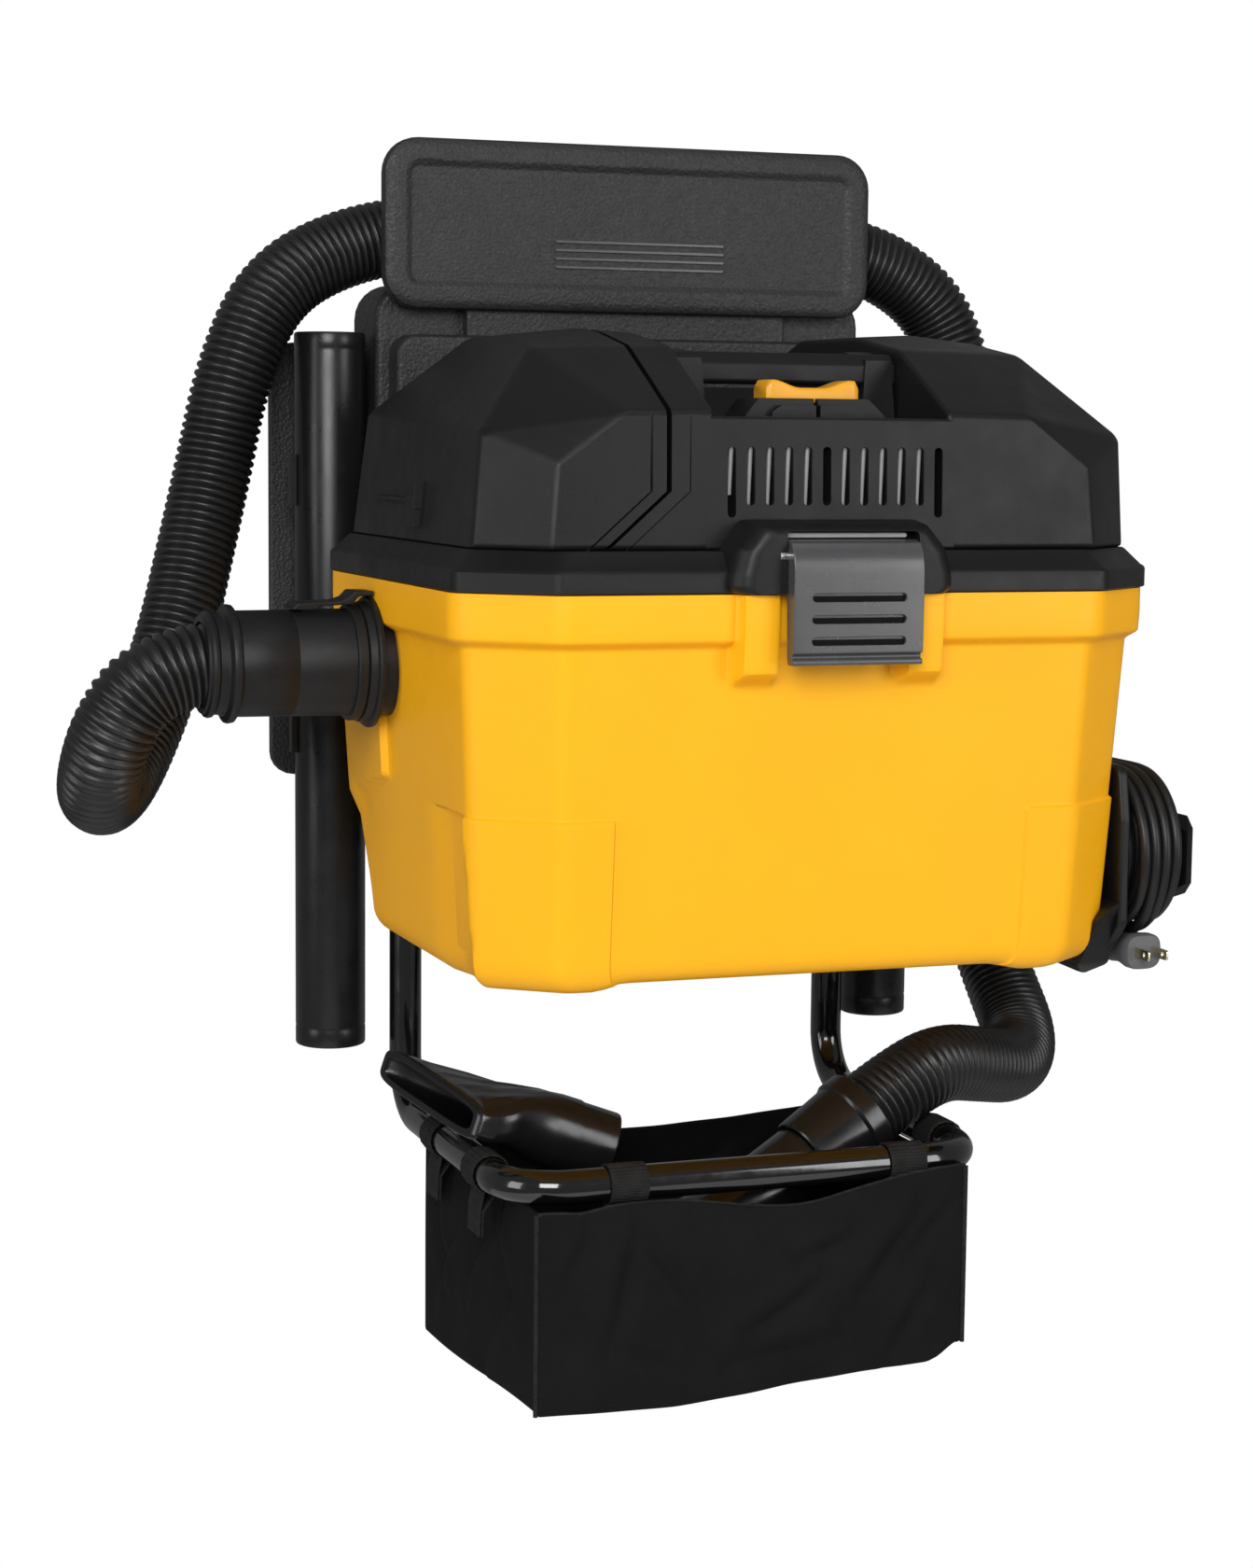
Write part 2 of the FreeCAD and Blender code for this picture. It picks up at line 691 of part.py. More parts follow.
# Cord wrap on the tub's right side, the wound cord, its lead from the head and the plug.


def racetrack(low, high, half_long, half_high):
    """A block along X with round ends, centred on the wrap."""
    straight = f"(({half_long}) - ({half_high}))"
    block = box(
        (low, high),
        (f"wrap_y - {straight}", f"wrap_y + {straight}"),
        (f"wrap_z - ({half_high})", f"wrap_z + ({half_high})"),
    )
    ends = [
        rod("x", (f"wrap_y + {sign} * {straight}", "wrap_z"), (low, high), half_high) for sign in (-1, 1)
    ]
    return joined(block, *ends)


plate = softened(box((212.8, "wrap_in"), (-402, -268), (-238, -112)), 12, along(Vector(1, 0, 0)))
core = racetrack("wrap_in", "wrap_out", "wrap_long", "wrap_high")
piece("wrap_base", joined(plate, core))
tab = prism(
    "XY_Plane",
    [
        ("wrap_out + 0.2", -390),
        ("wrap_out + 6", -394),
        ("wrap_out + 15", -380),
        ("wrap_out + 15", -300),
        ("wrap_out + 7", -282),
        ("wrap_out + 0.2", -282),
    ],
    (-200, -146),
)
piece("wrap_tab", softened(tab, 5, along(Vector(1, 0, 0), 3)))
wound = racetrack("wrap_in + 1.5", "wrap_out - 1.5", "wrap_long + coil_deep", "wrap_high + coil_deep")
middle = racetrack("wrap_in - 5", "wrap_out + 5", "wrap_long + 0.4", "wrap_high + 0.4")
piece("cord_coil", cut(wound, middle))

CORD_ROUTE = [
    (234.8, -172, 60),
    (260, -173, 57),
    (279, -178, 36),
    (279, -188, -6),
    (264, -202, -62),
    (249, -208, -102),
    (241, -210, -138),
    (237, -226, -162),
    (237, -259.2, -168),
]
piece("cord_lead", bent_tube(CORD_ROUTE, "cord lead", size("cord_radius")))
relief = rod("x", (-172, 60), (206, 234), 7.5, "cord_radius + 0.8")
piece("strain_relief", cut(relief, rod("x", (-172, 60), (205, 206.2), 9)))
plug = softened(box(("plug_x - 13", "plug_x + 13"), (-392, -352), (-243, -220.3)), 5, along(DEEP))
piece("plug_body", plug)
blades = [
    box((f"plug_x + {across} - 0.8", f"plug_x + {across} + 0.8"), (-408, -392), (-235, -228))
    for across in (-6.4, 6.4)
]
piece("plug_blades", joined(*blades))

# Lid: a flat rim that closes the tub, a sloped upper edge and the hood over the latch.
rim_plan = octagon("rim_half + 1", "rim_front + 1", "rim_back - 1", "rim_corner", "rim_corner_y")
lip_plan = octagon("rim_half - 10", "rim_front - 12", "rim_back + 9", 46, 37)
lid_edge = prism("XY_Plane", rim_plan, (0, "lid_top"))
lid_slope = lofted([("lid_top", rim_plan), ("lid_lip", lip_plan)])
hood = prism("XZ_Plane", [(-67, 0), (67, 0), (67, 24), (58, 41), (-58, 41), (-67, 24)], (-459, -431.4))
hood_room = box(("-latch_half - 1.5", "latch_half + 1.5"), (-480, -445.4), (-10, 33))
well = prism("XY_Plane", octagon("rim_half - 14", "rim_front - 16", "rim_back + 13", 46, 37), (7, 30))
air_way = rod("z", (0, "core_y"), (-1, 8), 36)
SCREW_OUT = 52 * math.sqrt(0.5)
bolts_way = [
    rod("z", (across * SCREW_OUT, f"core_y + {deep * SCREW_OUT}"), (-1, 8), 2.6)
    for across in (-1, 1)
    for deep in (-1, 1)
]
well = cut(well, box((-70, 70), (-480, -424), (0, 60)))
pin_seat = rod("x", ("-pivot_y", "pivot_z"), (-44.2, 44.2), "pin_radius + 0.1")
piece("lid", cut(joined(lid_edge, lid_slope, hood), hood_room, well, air_way, pin_seat, *bolts_way))


def inset(gap, corner, corner_y):
    """The tub's inner outline, smaller by a gap all round."""
    return octagon(
        f"body_half - tub_wall - {gap}",
        f"body_front - tub_wall - {gap}",
        f"body_back + tub_wall + {gap}",
        corner,
        corner_y,
    )


gasket = prism("XY_Plane", inset(1.5, 48, 39), (-8, -0.2))
gasket_room = prism("XY_Plane", inset(9, 46, 37), (-9, 1))
piece("lid_gasket", cut(gasket, gasket_room))

# Head cover: a facetted hump each side of a sunk middle, thin-walled and open below.
HUMP = [
    (74, -431, 24.2),
    (172, -431, 24.2),
    (210, -397, 24.2),
    (210, -128, 24.2),
    (194, -118, 24.2),
    (74, -118, 24.2),
    (74, -429, 104),
    (127, -429, 103),
    (168, -429, 73),
    (205, -398, 91),
    (203, -140, 101),
    (160, -348, 141),
    (118, -355, 142),
    (74, -356, 143),
    (160, -290, 149),
    (154, -200, 149),
    (112, -290, 154),
    (112, -200, 154),
    (74, -290, 152),
    (74, -200, 152),
    (150, -152, 134),
    (74, -146, 136),
]
HUMP_MIDDLE = Vector(140, -275, 24.2)
HUMP_INSIDE = 0.955


def hump(sign, share=1.0):
    """One hump, or its inside where share is less than 1."""
    spots = []
    for spot in HUMP:
        away = Vector(*spot) - HUMP_MIDDLE
        inner = HUMP_MIDDLE + away * share
        spots.append((sign * inner.x, inner.y, inner.z - (2 if share < 1 and spot[2] < 25 else 0)))
    return shaped(facetted(spots))


centre = prism(
    "YZ_Plane",
    [
        (-431, 24.2),
        (-429, 101),
        (-417, 101),
        (-413, 95),
        (-352, 95),
        (-200, 100),
        (-160, 122),
        (-124, 112),
        (-118, 24.2),
    ],
    (-80, 80),
)
centre_room = prism(
    "YZ_Plane",
    [
        (-427.5, 20),
        (-425.5, 97.5),
        (-419, 97.5),
        (-415, 91.5),
        (-352, 91.5),
        (-201, 96.5),
        (-160, 118),
        (-127, 109),
        (-121.5, 20),
    ],
    (-70, 70),
)
slots = [
    box(
        (f"{number - 5.5} * slot_pitch - slot_wide / 2", f"{number - 5.5} * slot_pitch + slot_wide / 2"),
        (-440, -420),
        ("slot_low - 6" if number in (0, 11) else "slot_low", "slot_high"),
    )
    for number in range(12)
]
relief_way = rod("x", (-172, 60), (190, 240), 7.7)
COVER_SEAM = [(-103, 160), (-103, 58), (-146, 20)]
SEAM_GAP = 0.6


def cover_zone(grow):
    """The part of the head left of the cover's seam."""
    seam = [(across + grow, up) for across, up in COVER_SEAM]
    return prism("XZ_Plane", [*seam, (-240, 20), (-240, 160)], (-440, -100))


left_wall = cut(hump(-1), hump(-1, HUMP_INSIDE))
right_wall = cut(hump(1), hump(1, HUMP_INSIDE))
middle_wall = cut(centre, centre_room)
whole = joined(cut(left_wall, cover_zone(SEAM_GAP)), right_wall, middle_wall)
piece("motor_cover", cut(whole, relief_way, *slots))
piece("side_cover", common(cut(hump(-1), hump(-1, HUMP_INSIDE)), cover_zone(0)))

# Switch: a bezel in the sunk middle and a rocker that tips on its pin.
bezel = prism("XZ_Plane", [(-48, 95.3), (46, 95.3), (40, 112), (-42, 112)], (-404, -372))
bezel_room = box(
    ("-switch_half - 1.2", "switch_half + 1.2"), ("switch_y - 12.2", "switch_y + 12.2"), (96.8, 130)
)
piece("switch_bezel", cut(bezel, bezel_room))
rocker = prism(
    "XZ_Plane",
    [
        (-30, 109.5),
        (-12, 105.5),
        (12, 105.5),
        (30, 109.5),
        (30, 121),
        (20, 122.5),
        (0, 118),
        (-20, 122.5),
        (-30, 121),
    ],
    ("switch_y - 11.7", "switch_y + 11.7"),
)
piece("switch_rocker", rocker)

# Carry handle: a bar across the sunk middle, on a post at each end.
grip = softened(box((-73.6, 73.6), (-352, -322), (122, 140)), 6, along(Vector(1, 0, 0)))
posts = [box((62 * sign - 11.6, 62 * sign + 11.6), (-350, -324), (97, 124)) for sign in (-1, 1)]
piece("carry_handle", joined(grip, *posts))

# Latch: hangs from a pin under the hood and closes over the tub's rim.
latch_points = [
    (-467, -41),
    (-461, -41),
    (-459, -38),
    (-457, 12),
    (-452, 14),
    (-449.5, 24),
    (-453, 30),
    (-461, 31.5),
    (-466, 27),
    (-466, -34),
]
latch = prism("YZ_Plane", latch_points, ("-latch_half", "latch_half"))
pin_way = rod("x", ("-pivot_y", "pivot_z"), (-60, 60), "pin_radius + 0.1")
piece("latch", cut(latch, pin_way))
piece("latch_pin", rod("x", ("-pivot_y", "pivot_z"), (-44, 44), "pin_radius"))


def spoke(turn, reach, wide, high):
    """A block that stands out from the motor's axis, turned about it."""
    block = doc.addObject("Part::Box", "Spoke")
    block.Length, block.Width, block.Height = reach[1] - reach[0], wide, high[1] - high[0]
    start = Placement(Vector(reach[0], -wide / 2, high[0]), Rotation())
    block.Placement = Placement(Vector(0, size("core_y"), 0), Rotation(UP, turn)).multiply(start)
    return block


# Inside the head: fan housing and motor on the lid, with the rotor, fan, and bearings on one shaft.
fan_case = rod("z", (0, "core_y"), (7.2, 34), "fan_radius")
fan_room = rod("z", (0, "core_y"), (9.7, 31.5), "fan_radius - 3")
eye = rod("z", (0, "core_y"), (5, 12), 30)
neck = rod("z", (0, "core_y"), (30, 36), "shaft_radius + 2")
blow = box((-14, 14), ("core_y + fan_radius - 8", "core_y + fan_radius + 5"), (14, 27))
piece("fan_housing", cut(fan_case, fan_room, eye, neck, blow))
can = rod("z", (0, "core_y"), (34.2, 91), "motor_radius")
can_room = rod("z", (0, "core_y"), (37, 88), "motor_radius - 3")
piece("motor_can", cut(can, can_room, rod("z", (0, "core_y"), (30, 38), 9)))
stator = rod("z", (0, "core_y"), (46, 76), "motor_radius - 3.2")
piece("stator", cut(stator, rod("z", (0, "core_y"), (40, 80), 26)))
for name, low in {"lower": 37.2, "upper": 80}.items():
    ring = rod("z", (0, "core_y"), (low, low + 7), 11)
    piece(f"bearing_{name}", cut(ring, rod("z", (0, "core_y"), (low - 1, low + 8), "shaft_radius + 0.05")))
shaft = rod("z", (0, "core_y"), (12, 86.8), "shaft_radius")
piece("rotor", joined(shaft, rod("z", (0, "core_y"), (47, 75), 25)))
disc = rod("z", (0, "core_y"), (26, 29), 58)
hub = rod("z", (0, "core_y"), (13, 28), 14)
fins = [spoke(turn, (13, 56), 2, (14, 26.5)) for turn in range(0, 360, 45)]
piece("impeller", cut(joined(disc, hub, *fins), rod("z", (0, "core_y"), (10, 30), "shaft_radius")))

# Under the lid: the cage with its float ball, the pleated filter on it and the nut that holds it.
cage = rod("z", (0, "core_y"), (-124, -0.3), "cage_radius")
cage_room = rod("z", (0, "core_y"), (-120, 1), "cage_radius - 2.5")
windows = [spoke(turn, (30, 60), 14, (-112, -56)) for turn in range(0, 360, 45)]
stem = rod("z", (0, "core_y"), (-158, -123), 5)
piece("filter_cage", cut(joined(cage, stem), cage_room, *windows))
filter_body = rod("z", (0, "core_y"), ("filter_low", -8.5), "filter_radius")
filter_room = rod("z", (0, "core_y"), (-140, -8), "cage_radius + 0.4")
stem_way = rod("z", (0, "core_y"), (-160, -130), 5.4)
piece("filter", cut(filter_body, filter_room, stem_way))
nut = rod("z", (0, "core_y"), (-164, "filter_low - 0.2"), 20)
grip = box((-24, 24), ("core_y - 4", "core_y + 4"), (-176, -163))
piece("filter_nut", cut(joined(nut, grip), rod("z", (0, "core_y"), (-159, -149), 5.05)))
piece("float_ball", ball(0, "core_y", "-119.5 + ball_radius", "ball_radius"))

doc.recompute()
os.makedirs("parts", exist_ok=True)
for thing in doc.Objects:
    if {"Invalid", "Error"} & set(thing.State):
        raise RuntimeError(f"{thing.Label} failed: {thing.State}")
for label, feature in PIECES.items():
    shape = feature.Shape
    if shape.isNull() or not shape.isValid():
        raise RuntimeError(f"{label} has no valid shape")
    print(f"{label}: {len(shape.Solids)} solid, {shape.Volume / 1000:.1f} cm3")
    shape.exportStep(f"parts/{label}.step")
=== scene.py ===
import json
import math

import bmesh
import bpy
from mathutils import Matrix, Vector


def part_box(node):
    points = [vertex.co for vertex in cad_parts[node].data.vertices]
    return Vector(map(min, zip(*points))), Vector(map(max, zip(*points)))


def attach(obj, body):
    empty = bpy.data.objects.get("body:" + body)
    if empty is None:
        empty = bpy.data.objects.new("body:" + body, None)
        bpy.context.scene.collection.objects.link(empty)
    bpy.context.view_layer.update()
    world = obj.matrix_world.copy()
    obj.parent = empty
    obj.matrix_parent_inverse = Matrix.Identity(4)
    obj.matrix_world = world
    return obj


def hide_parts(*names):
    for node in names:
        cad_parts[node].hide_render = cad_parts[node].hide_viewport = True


# Looks for the wall-mounted wet and dry vacuum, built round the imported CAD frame.
# Lengths inside the piece functions are in millimetres in the record's frame.
# metres() turns them into Blender's.

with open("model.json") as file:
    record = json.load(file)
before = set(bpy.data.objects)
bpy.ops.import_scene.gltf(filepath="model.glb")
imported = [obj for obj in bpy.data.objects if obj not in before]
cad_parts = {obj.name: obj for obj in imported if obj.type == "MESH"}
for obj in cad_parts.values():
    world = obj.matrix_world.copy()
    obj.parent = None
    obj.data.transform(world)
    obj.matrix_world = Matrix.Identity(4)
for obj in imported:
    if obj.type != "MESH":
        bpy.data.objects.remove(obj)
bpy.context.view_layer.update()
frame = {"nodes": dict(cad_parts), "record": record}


def metres(*spot):
    return Vector(spot) * 0.001


# ---------------------------------------------------------------- camera, world, lights and floor


AIR = 0.2


def make_camera():
    """The viewer stands in front and to the left, looking slightly down."""
    azimuth, pitch, roll = (math.radians(turn) for turn in (19.7, 6.69, 0.58))
    ahead = Vector(
        (math.sin(azimuth) * math.cos(pitch), math.cos(azimuth) * math.cos(pitch), -math.sin(pitch))
    )
    level = Vector((math.cos(azimuth), -math.sin(azimuth), 0))
    above = level.cross(ahead)
    right = level * math.cos(roll) + above * math.sin(roll)
    up = above * math.cos(roll) - level * math.sin(roll)
    lens = bpy.data.cameras.new("camera")
    lens.lens, lens.sensor_width = 69.1, 36
    camera = bpy.data.objects.new("camera", lens)
    camera.matrix_world = Matrix((right, up, -ahead)).transposed().to_4x4()
    camera.location = metres(-705, -2048, 92)
    bpy.context.scene.collection.objects.link(camera)
    bpy.context.scene.camera = camera


def make_world():
    """Dim even studio air."""
    world = bpy.data.worlds.new("studio")
    world.use_nodes = True
    bpy.context.scene.world = world
    sky = world.node_tree.nodes["Background"]
    sky.inputs["Color"].default_value = (1, 1, 1, 1)
    sky.inputs["Strength"].default_value = AIR


def make_light(name, spot, aim, size, power):
    lamp = bpy.data.lights.new(name, "AREA")
    lamp.shape, lamp.size, lamp.size_y, lamp.energy = "RECTANGLE", size[0], size[1], power
    light = bpy.data.objects.new(name, lamp)
    light.location = spot
    light.rotation_euler = (Vector(aim) - Vector(spot)).to_track_quat("-Z", "Y").to_euler()
    bpy.context.scene.collection.objects.link(light)


make_camera()
make_world()
make_light("key", (-1.15, -2.7, 0.95), (0, -0.2, -0.05), (1.3, 1.3), 60)
make_light("fill", (1.5, -2.5, 0.35), (0, -0.2, -0.1), (0.9, 1.7), 26)
make_light("side", (-2.5, -0.9, 0.2), (0, -0.2, -0.1), (0.9, 1.6), 17)
make_light("top", (0.1, -1.3, 2.2), (0, -0.2, 0), (1.6, 0.8), 6)
bpy.context.scene.view_settings.view_transform = "Standard"


# ---------------------------------------------------------------- materials


def socket_set(shader, **values):
    for name, value in values.items():
        shader.inputs[name.replace("_", " ")].default_value = value


class Finish:
    """A procedural material under construction: one shader and the nodes that feed it."""

    def __init__(self, name, colour, roughness, **sockets):
        self.material = bpy.data.materials.new(name)
        self.material.use_nodes = True
        self.material.diffuse_color = (*colour, 1)
        self.tree = self.material.node_tree
        self.shader = self.tree.nodes["Principled BSDF"]
        self.colour, self.roughness = colour, roughness
        self.height = None
        socket_set(self.shader, Roughness=roughness, **sockets)
        self.shader.inputs["Base Color"].default_value = (*colour, 1)
        self.spot = self.node("ShaderNodeTexCoord").outputs["Object"]

    def node(self, kind, **values):
        made = self.tree.nodes.new(kind)
        for name, value in values.items():
            setattr(made, name, value)
        return made

    def link(self, start, end):
        self.tree.links.new(start, end)

    def stretched(self, scale):
        turn = self.node("ShaderNodeMapping")
        turn.inputs["Scale"].default_value = scale
        self.link(self.spot, turn.inputs["Vector"])
        return turn.outputs["Vector"]

    def noise(self, scale, detail=4.0, rough=0.6, stretch=None):
        grain = self.node("ShaderNodeTexNoise")
        grain.inputs["Scale"].default_value = scale
        grain.inputs["Detail"].default_value = detail
        grain.inputs["Roughness"].default_value = rough
        self.link(self.stretched(stretch) if stretch else self.spot, grain.inputs["Vector"])
        return grain.outputs["Fac"]

    def cells(self, scale):
        grain = self.node("ShaderNodeTexVoronoi")
        grain.inputs["Scale"].default_value = scale
        self.link(self.spot, grain.inputs["Vector"])
        return grain.outputs["Distance"]

    def ranged(self, value, low, high, start=0.3, end=0.7):
        ramp = self.node("ShaderNodeMapRange")
        for name, number in zip(("From Min", "From Max", "To Min", "To Max"), (start, end, low, high)):
            ramp.inputs[name].default_value = number
        self.link(value, ramp.inputs["Value"])
        return ramp.outputs["Result"]

    def sums(self, first, second, operation="ADD"):
        both = self.node("ShaderNodeMath", operation=operation)
        for slot, value in zip(both.inputs, (first, second)):
            if isinstance(value, (int, float)):
                slot.default_value = value
            else:
                self.link(value, slot)
        return both.outputs[0]

    def varied(self, value, other, share_low=0.0, share_high=1.0):
        """Shifts the base colour towards another one where value is high."""
        mix = self.node("ShaderNodeMix", data_type="RGBA")
        mix.inputs[6].default_value = (*self.colour, 1)
        mix.inputs[7].default_value = (*other, 1)
        self.link(self.ranged(value, share_low, share_high), mix.inputs["Factor"])
        self.link(mix.outputs[2], self.shader.inputs["Base Color"])
        return self

    def worn(self, value, low, high):
        self.link(self.ranged(value, low, high), self.shader.inputs["Roughness"])
        return self

    def raised(self, value, depth, strength=1.0):
        """Bumps the surface by value times depth, in metres."""
        bump = self.node("ShaderNodeBump")
        bump.inputs["Strength"].default_value = strength
        bump.inputs["Distance"].default_value = depth
        self.link(value, bump.inputs["Height"])
        if self.height is not None:
            self.link(self.height, bump.inputs["Normal"])
        self.height = bump.outputs["Normal"]
        self.link(self.height, self.shader.inputs["Normal"])
        return self


def yellow_finish():
    made = Finish("yellow_plastic", (0.93, 0.435, 0.006), 0.42, Specular_IOR_Level=0.28)
    made.varied(made.noise(9), (0.87, 0.395, 0.005), 0.0, 0.5)
    made.worn(made.noise(60, 6), 0.38, 0.50)
    made.raised(made.noise(1500, 3), 0.00012, 0.5)
    made.raised(made.noise(14, 2), 0.0006, 0.25)
    return made.material


def black_finish(name, colour, rough, grain, depth, gloss=0.35):
    made = Finish(name, colour, sum(rough) / 2, Specular_IOR_Level=gloss)
    made.varied(made.noise(16), tuple(part * 1.5 for part in colour), 0.0, 0.6)
    made.worn(made.noise(45, 6), *rough)
    made.raised(made.noise(grain, 4, 0.7), depth, 0.6)
    return made.material


def leather_grain_finish():
    """Black plastic moulded with a coarse pebbled grain."""
    made = Finish("black_textured", (0.0135, 0.0135, 0.0145), 0.45, Specular_IOR_Level=0.45)
    pebbles = made.sums(made.cells(420), made.noise(900, 3), "MULTIPLY")
    made.varied(made.noise(20), (0.020, 0.020, 0.021), 0.0, 0.7)
    made.worn(made.noise(300, 5), 0.38, 0.62)
    made.raised(pebbles, 0.0009, 0.8)
    return made.material


def enamel_finish():
    made = Finish("black_enamel", (0.004, 0.004, 0.004), 0.12, Specular_IOR_Level=0.5, Coat_Weight=0.7)
    made.shader.inputs["Coat Roughness"].default_value = 0.06
    made.worn(made.noise(70, 6), 0.08, 0.2)
    made.raised(made.noise(160, 3), 0.0002, 0.3)
    return made.material


def cloth_finish():
    """Black woven polyester: a fine pebbled weave with a few soft undulations."""
    made = Finish("bag_fabric", (0.0042, 0.0042, 0.0046), 0.9, Specular_IOR_Level=0.12)
    weave = made.sums(made.cells(900), made.noise(1400, 2), "MULTIPLY")
    made.varied(made.noise(24, 6), (0.0070, 0.0070, 0.0078), 0.0, 0.8)
    made.worn(weave, 0.75, 0.95)
    made.raised(weave, 0.0005, 0.6)
    made.raised(made.noise(35, 3), 0.0015, 0.2)
    return made.material


def webbing_finish():
    made = Finish("webbing", (0.013, 0.013, 0.013), 0.85, Specular_IOR_Level=0.15)
    wave = made.node("ShaderNodeTexWave", bands_direction="Z")
    wave.inputs["Scale"].default_value = 190
    wave.inputs["Distortion"].default_value = 2.0
    made.link(made.spot, wave.inputs["Vector"])
    made.varied(made.noise(120, 4), (0.022, 0.022, 0.022))
    made.raised(wave.outputs["Fac"], 0.0008, 0.7)
    return made.material


def metal_finish(name, colour, rough):
    made = Finish(name, colour, rough, Metallic=1.0)
    made.worn(made.noise(220, 5, 0.6, (1, 1, 0.05)), rough * 0.7, rough * 1.4)
    made.raised(made.noise(500, 3, 0.6, (1, 1, 0.05)), 0.0001, 0.5)
    return made.material


def paper_finish():
    made = Finish("filter_paper", (0.80, 0.77, 0.66), 0.85)
    made.varied(made.noise(90), (0.66, 0.62, 0.50), 0.0, 0.6)
    made.raised(made.noise(700, 3), 0.0003, 0.6)
    return made.material


def floor_finish():
    made = Finish("studio_floor", (0.86, 0.86, 0.86), 0.7)
    made.varied(made.noise(1.5), (0.82, 0.82, 0.82))
    return made.material


BLACK = (0.0068, 0.0068, 0.0073)
FINISHES = {
    "yellow_plastic": yellow_finish(),
    "black_textured": leather_grain_finish(),
    "black_plastic": black_finish("black_plastic", BLACK, (0.36, 0.52), 1300, 0.00022, 0.28),
    "head_black": black_finish("head_black", (0.0058, 0.0058, 0.0062), (0.34, 0.46), 1700, 0.00016, 0.26),
    "gloss_black": black_finish("gloss_black", (0.006, 0.006, 0.0065), (0.16, 0.28), 500, 0.00008, 0.5),
    "hose_black": black_finish("hose_black", (0.008, 0.008, 0.0085), (0.30, 0.42), 900, 0.0001, 0.45),
    "black_rubber": black_finish("black_rubber", (0.006, 0.006, 0.006), (0.34, 0.48), 700, 0.0001, 0.35),
    "grey_plastic": black_finish("grey_plastic", (0.10, 0.10, 0.105), (0.4, 0.55), 1200, 0.0002),
    "switch_yellow": black_finish("switch_yellow", (0.62, 0.28, 0.008), (0.3, 0.4), 900, 0.0001, 0.45),
    "black_enamel": enamel_finish(),
    "bag_fabric": cloth_finish(),
    "webbing": webbing_finish(),
    # latch_grey: grey plastic lightened to stand in for the light that the glossy latch reflects, so partly
    # its own colour and partly painted reflection; the shield's ribs use it as painted highlight.
    "latch_grey": black_finish("latch_grey", (0.046, 0.046, 0.048), (0.2, 0.3), 900, 0.0001, 0.6),
    # deep_black: near-black with little gloss. The sheet behind the vent slots and the latch's groove
    # strips use it as painted shade, and it also colours the wrap tab.
    "deep_black": black_finish("deep_black", (0.0015, 0.0015, 0.0015), (0.4, 0.5), 900, 0.0001, 0.08),
    # vent_grey also colours the latch's top bar, and there it is a painted highlight.
    "vent_grey": black_finish("vent_grey", (0.24, 0.24, 0.245), (0.25, 0.35), 900, 0.0001, 0.5),
    "wand_black": black_finish("wand_black", (0.0072, 0.0072, 0.0077), (0.24, 0.36), 900, 0.0001, 0.38),
    "steel": metal_finish("steel", (0.55, 0.55, 0.56), 0.3),
    "motor_steel": metal_finish("motor_steel", (0.42, 0.42, 0.44), 0.4),
    "brass": metal_finish("brass", (0.74, 0.66, 0.45), 0.25),
    "winding_copper": metal_finish("winding_copper", (0.55, 0.24, 0.10), 0.4),
    "filter_paper": paper_finish(),
}
RECORD_SLOTS = {row["node"]: row["material_slot"] for row in frame["record"]["subparts"]}
for node_name, node in frame["nodes"].items():
    node.data.materials.clear()
    node.data.materials.append(FINISHES[RECORD_SLOTS[node_name]])


def make_stage():
    """A pale floor under the object and a white dome far round it that lights nothing."""
    low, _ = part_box("bag")
    bpy.ops.mesh.primitive_plane_add(size=3, location=(0, -0.8, low.z - 0.75))
    floor = bpy.context.object
    floor.name = "floor"
    floor.data.materials.append(floor_finish())
    bpy.ops.mesh.primitive_ico_sphere_add(subdivisions=4, radius=12)
    dome = bpy.context.object
    dome.name = "backdrop"
    white = bpy.data.materials.new("backdrop_white")
    white.use_nodes = True
    shader = white.node_tree.nodes["Principled BSDF"]
    socket_set(shader, Base_Color=(0, 0, 0, 1), Emission_Color=(1, 1, 1, 1), Emission_Strength=1.0)
    socket_set(shader, Specular_IOR_Level=0.0, Roughness=1.0)
    dome.data.materials.append(white)
    dome.visible_diffuse = dome.visible_glossy = False
    dome.visible_transmission = dome.visible_shadow = False


make_stage()


# ---------------------------------------------------------------- mesh helpers


def shown(name, mesh, finish):
    thing = bpy.data.objects.new(name, mesh)
    bpy.context.scene.collection.objects.link(thing)
    if not mesh.materials:
        mesh.materials.append(FINISHES[finish])
    return thing


def shaded(mesh, turn=32):
    """Smooth faces, with a sharp edge where two faces meet at more than turn degrees."""
    work = bmesh.new()
    work.from_mesh(mesh)
    bmesh.ops.recalc_face_normals(work, faces=work.faces)
    for face in work.faces:
        face.smooth = True
    for edge in work.edges:
        edge.smooth = len(edge.link_faces) != 2 or edge.calc_face_angle(0) < math.radians(turn)
    work.to_mesh(mesh)
    work.free()


def skin(name, spots, faces, finish, turn=32):
    mesh = bpy.data.meshes.new(name)
    mesh.from_pydata([metres(*spot) for spot in spots], [], faces)
    shaded(mesh, turn)
    return shown(name, mesh, finish)


def loft(name, rings, finish, caps=(True, True), turn=32, endless=False):
    """A skin through rings of equally many points. An endless one joins its last ring to its first."""
    count = len(rings[0])
    faces = []
    for level in range(len(rings) if endless else len(rings) - 1):
        low, high = level * count, (level + 1) % len(rings) * count
        for here in range(count):
            there = (here + 1) % count
            faces.append((low + here, low + there, high + there, high + here))
    if caps[0] and not endless:
        faces.append(tuple(reversed(range(count))))
    if caps[1] and not endless:
        faces.append(tuple(range((len(rings) - 1) * count, len(rings) * count)))
    return skin(name, [spot for ring in rings for spot in ring], faces, finish, turn)


def applied(thing):
    """Turns the modifiers of an object into plain mesh."""
    seen = bpy.context.evaluated_depsgraph_get()
    seen.update()
    mesh = bpy.data.meshes.new_from_object(thing.evaluated_get(seen), depsgraph=seen)
    thing.modifiers.clear()
    thing.data = mesh
    return thing


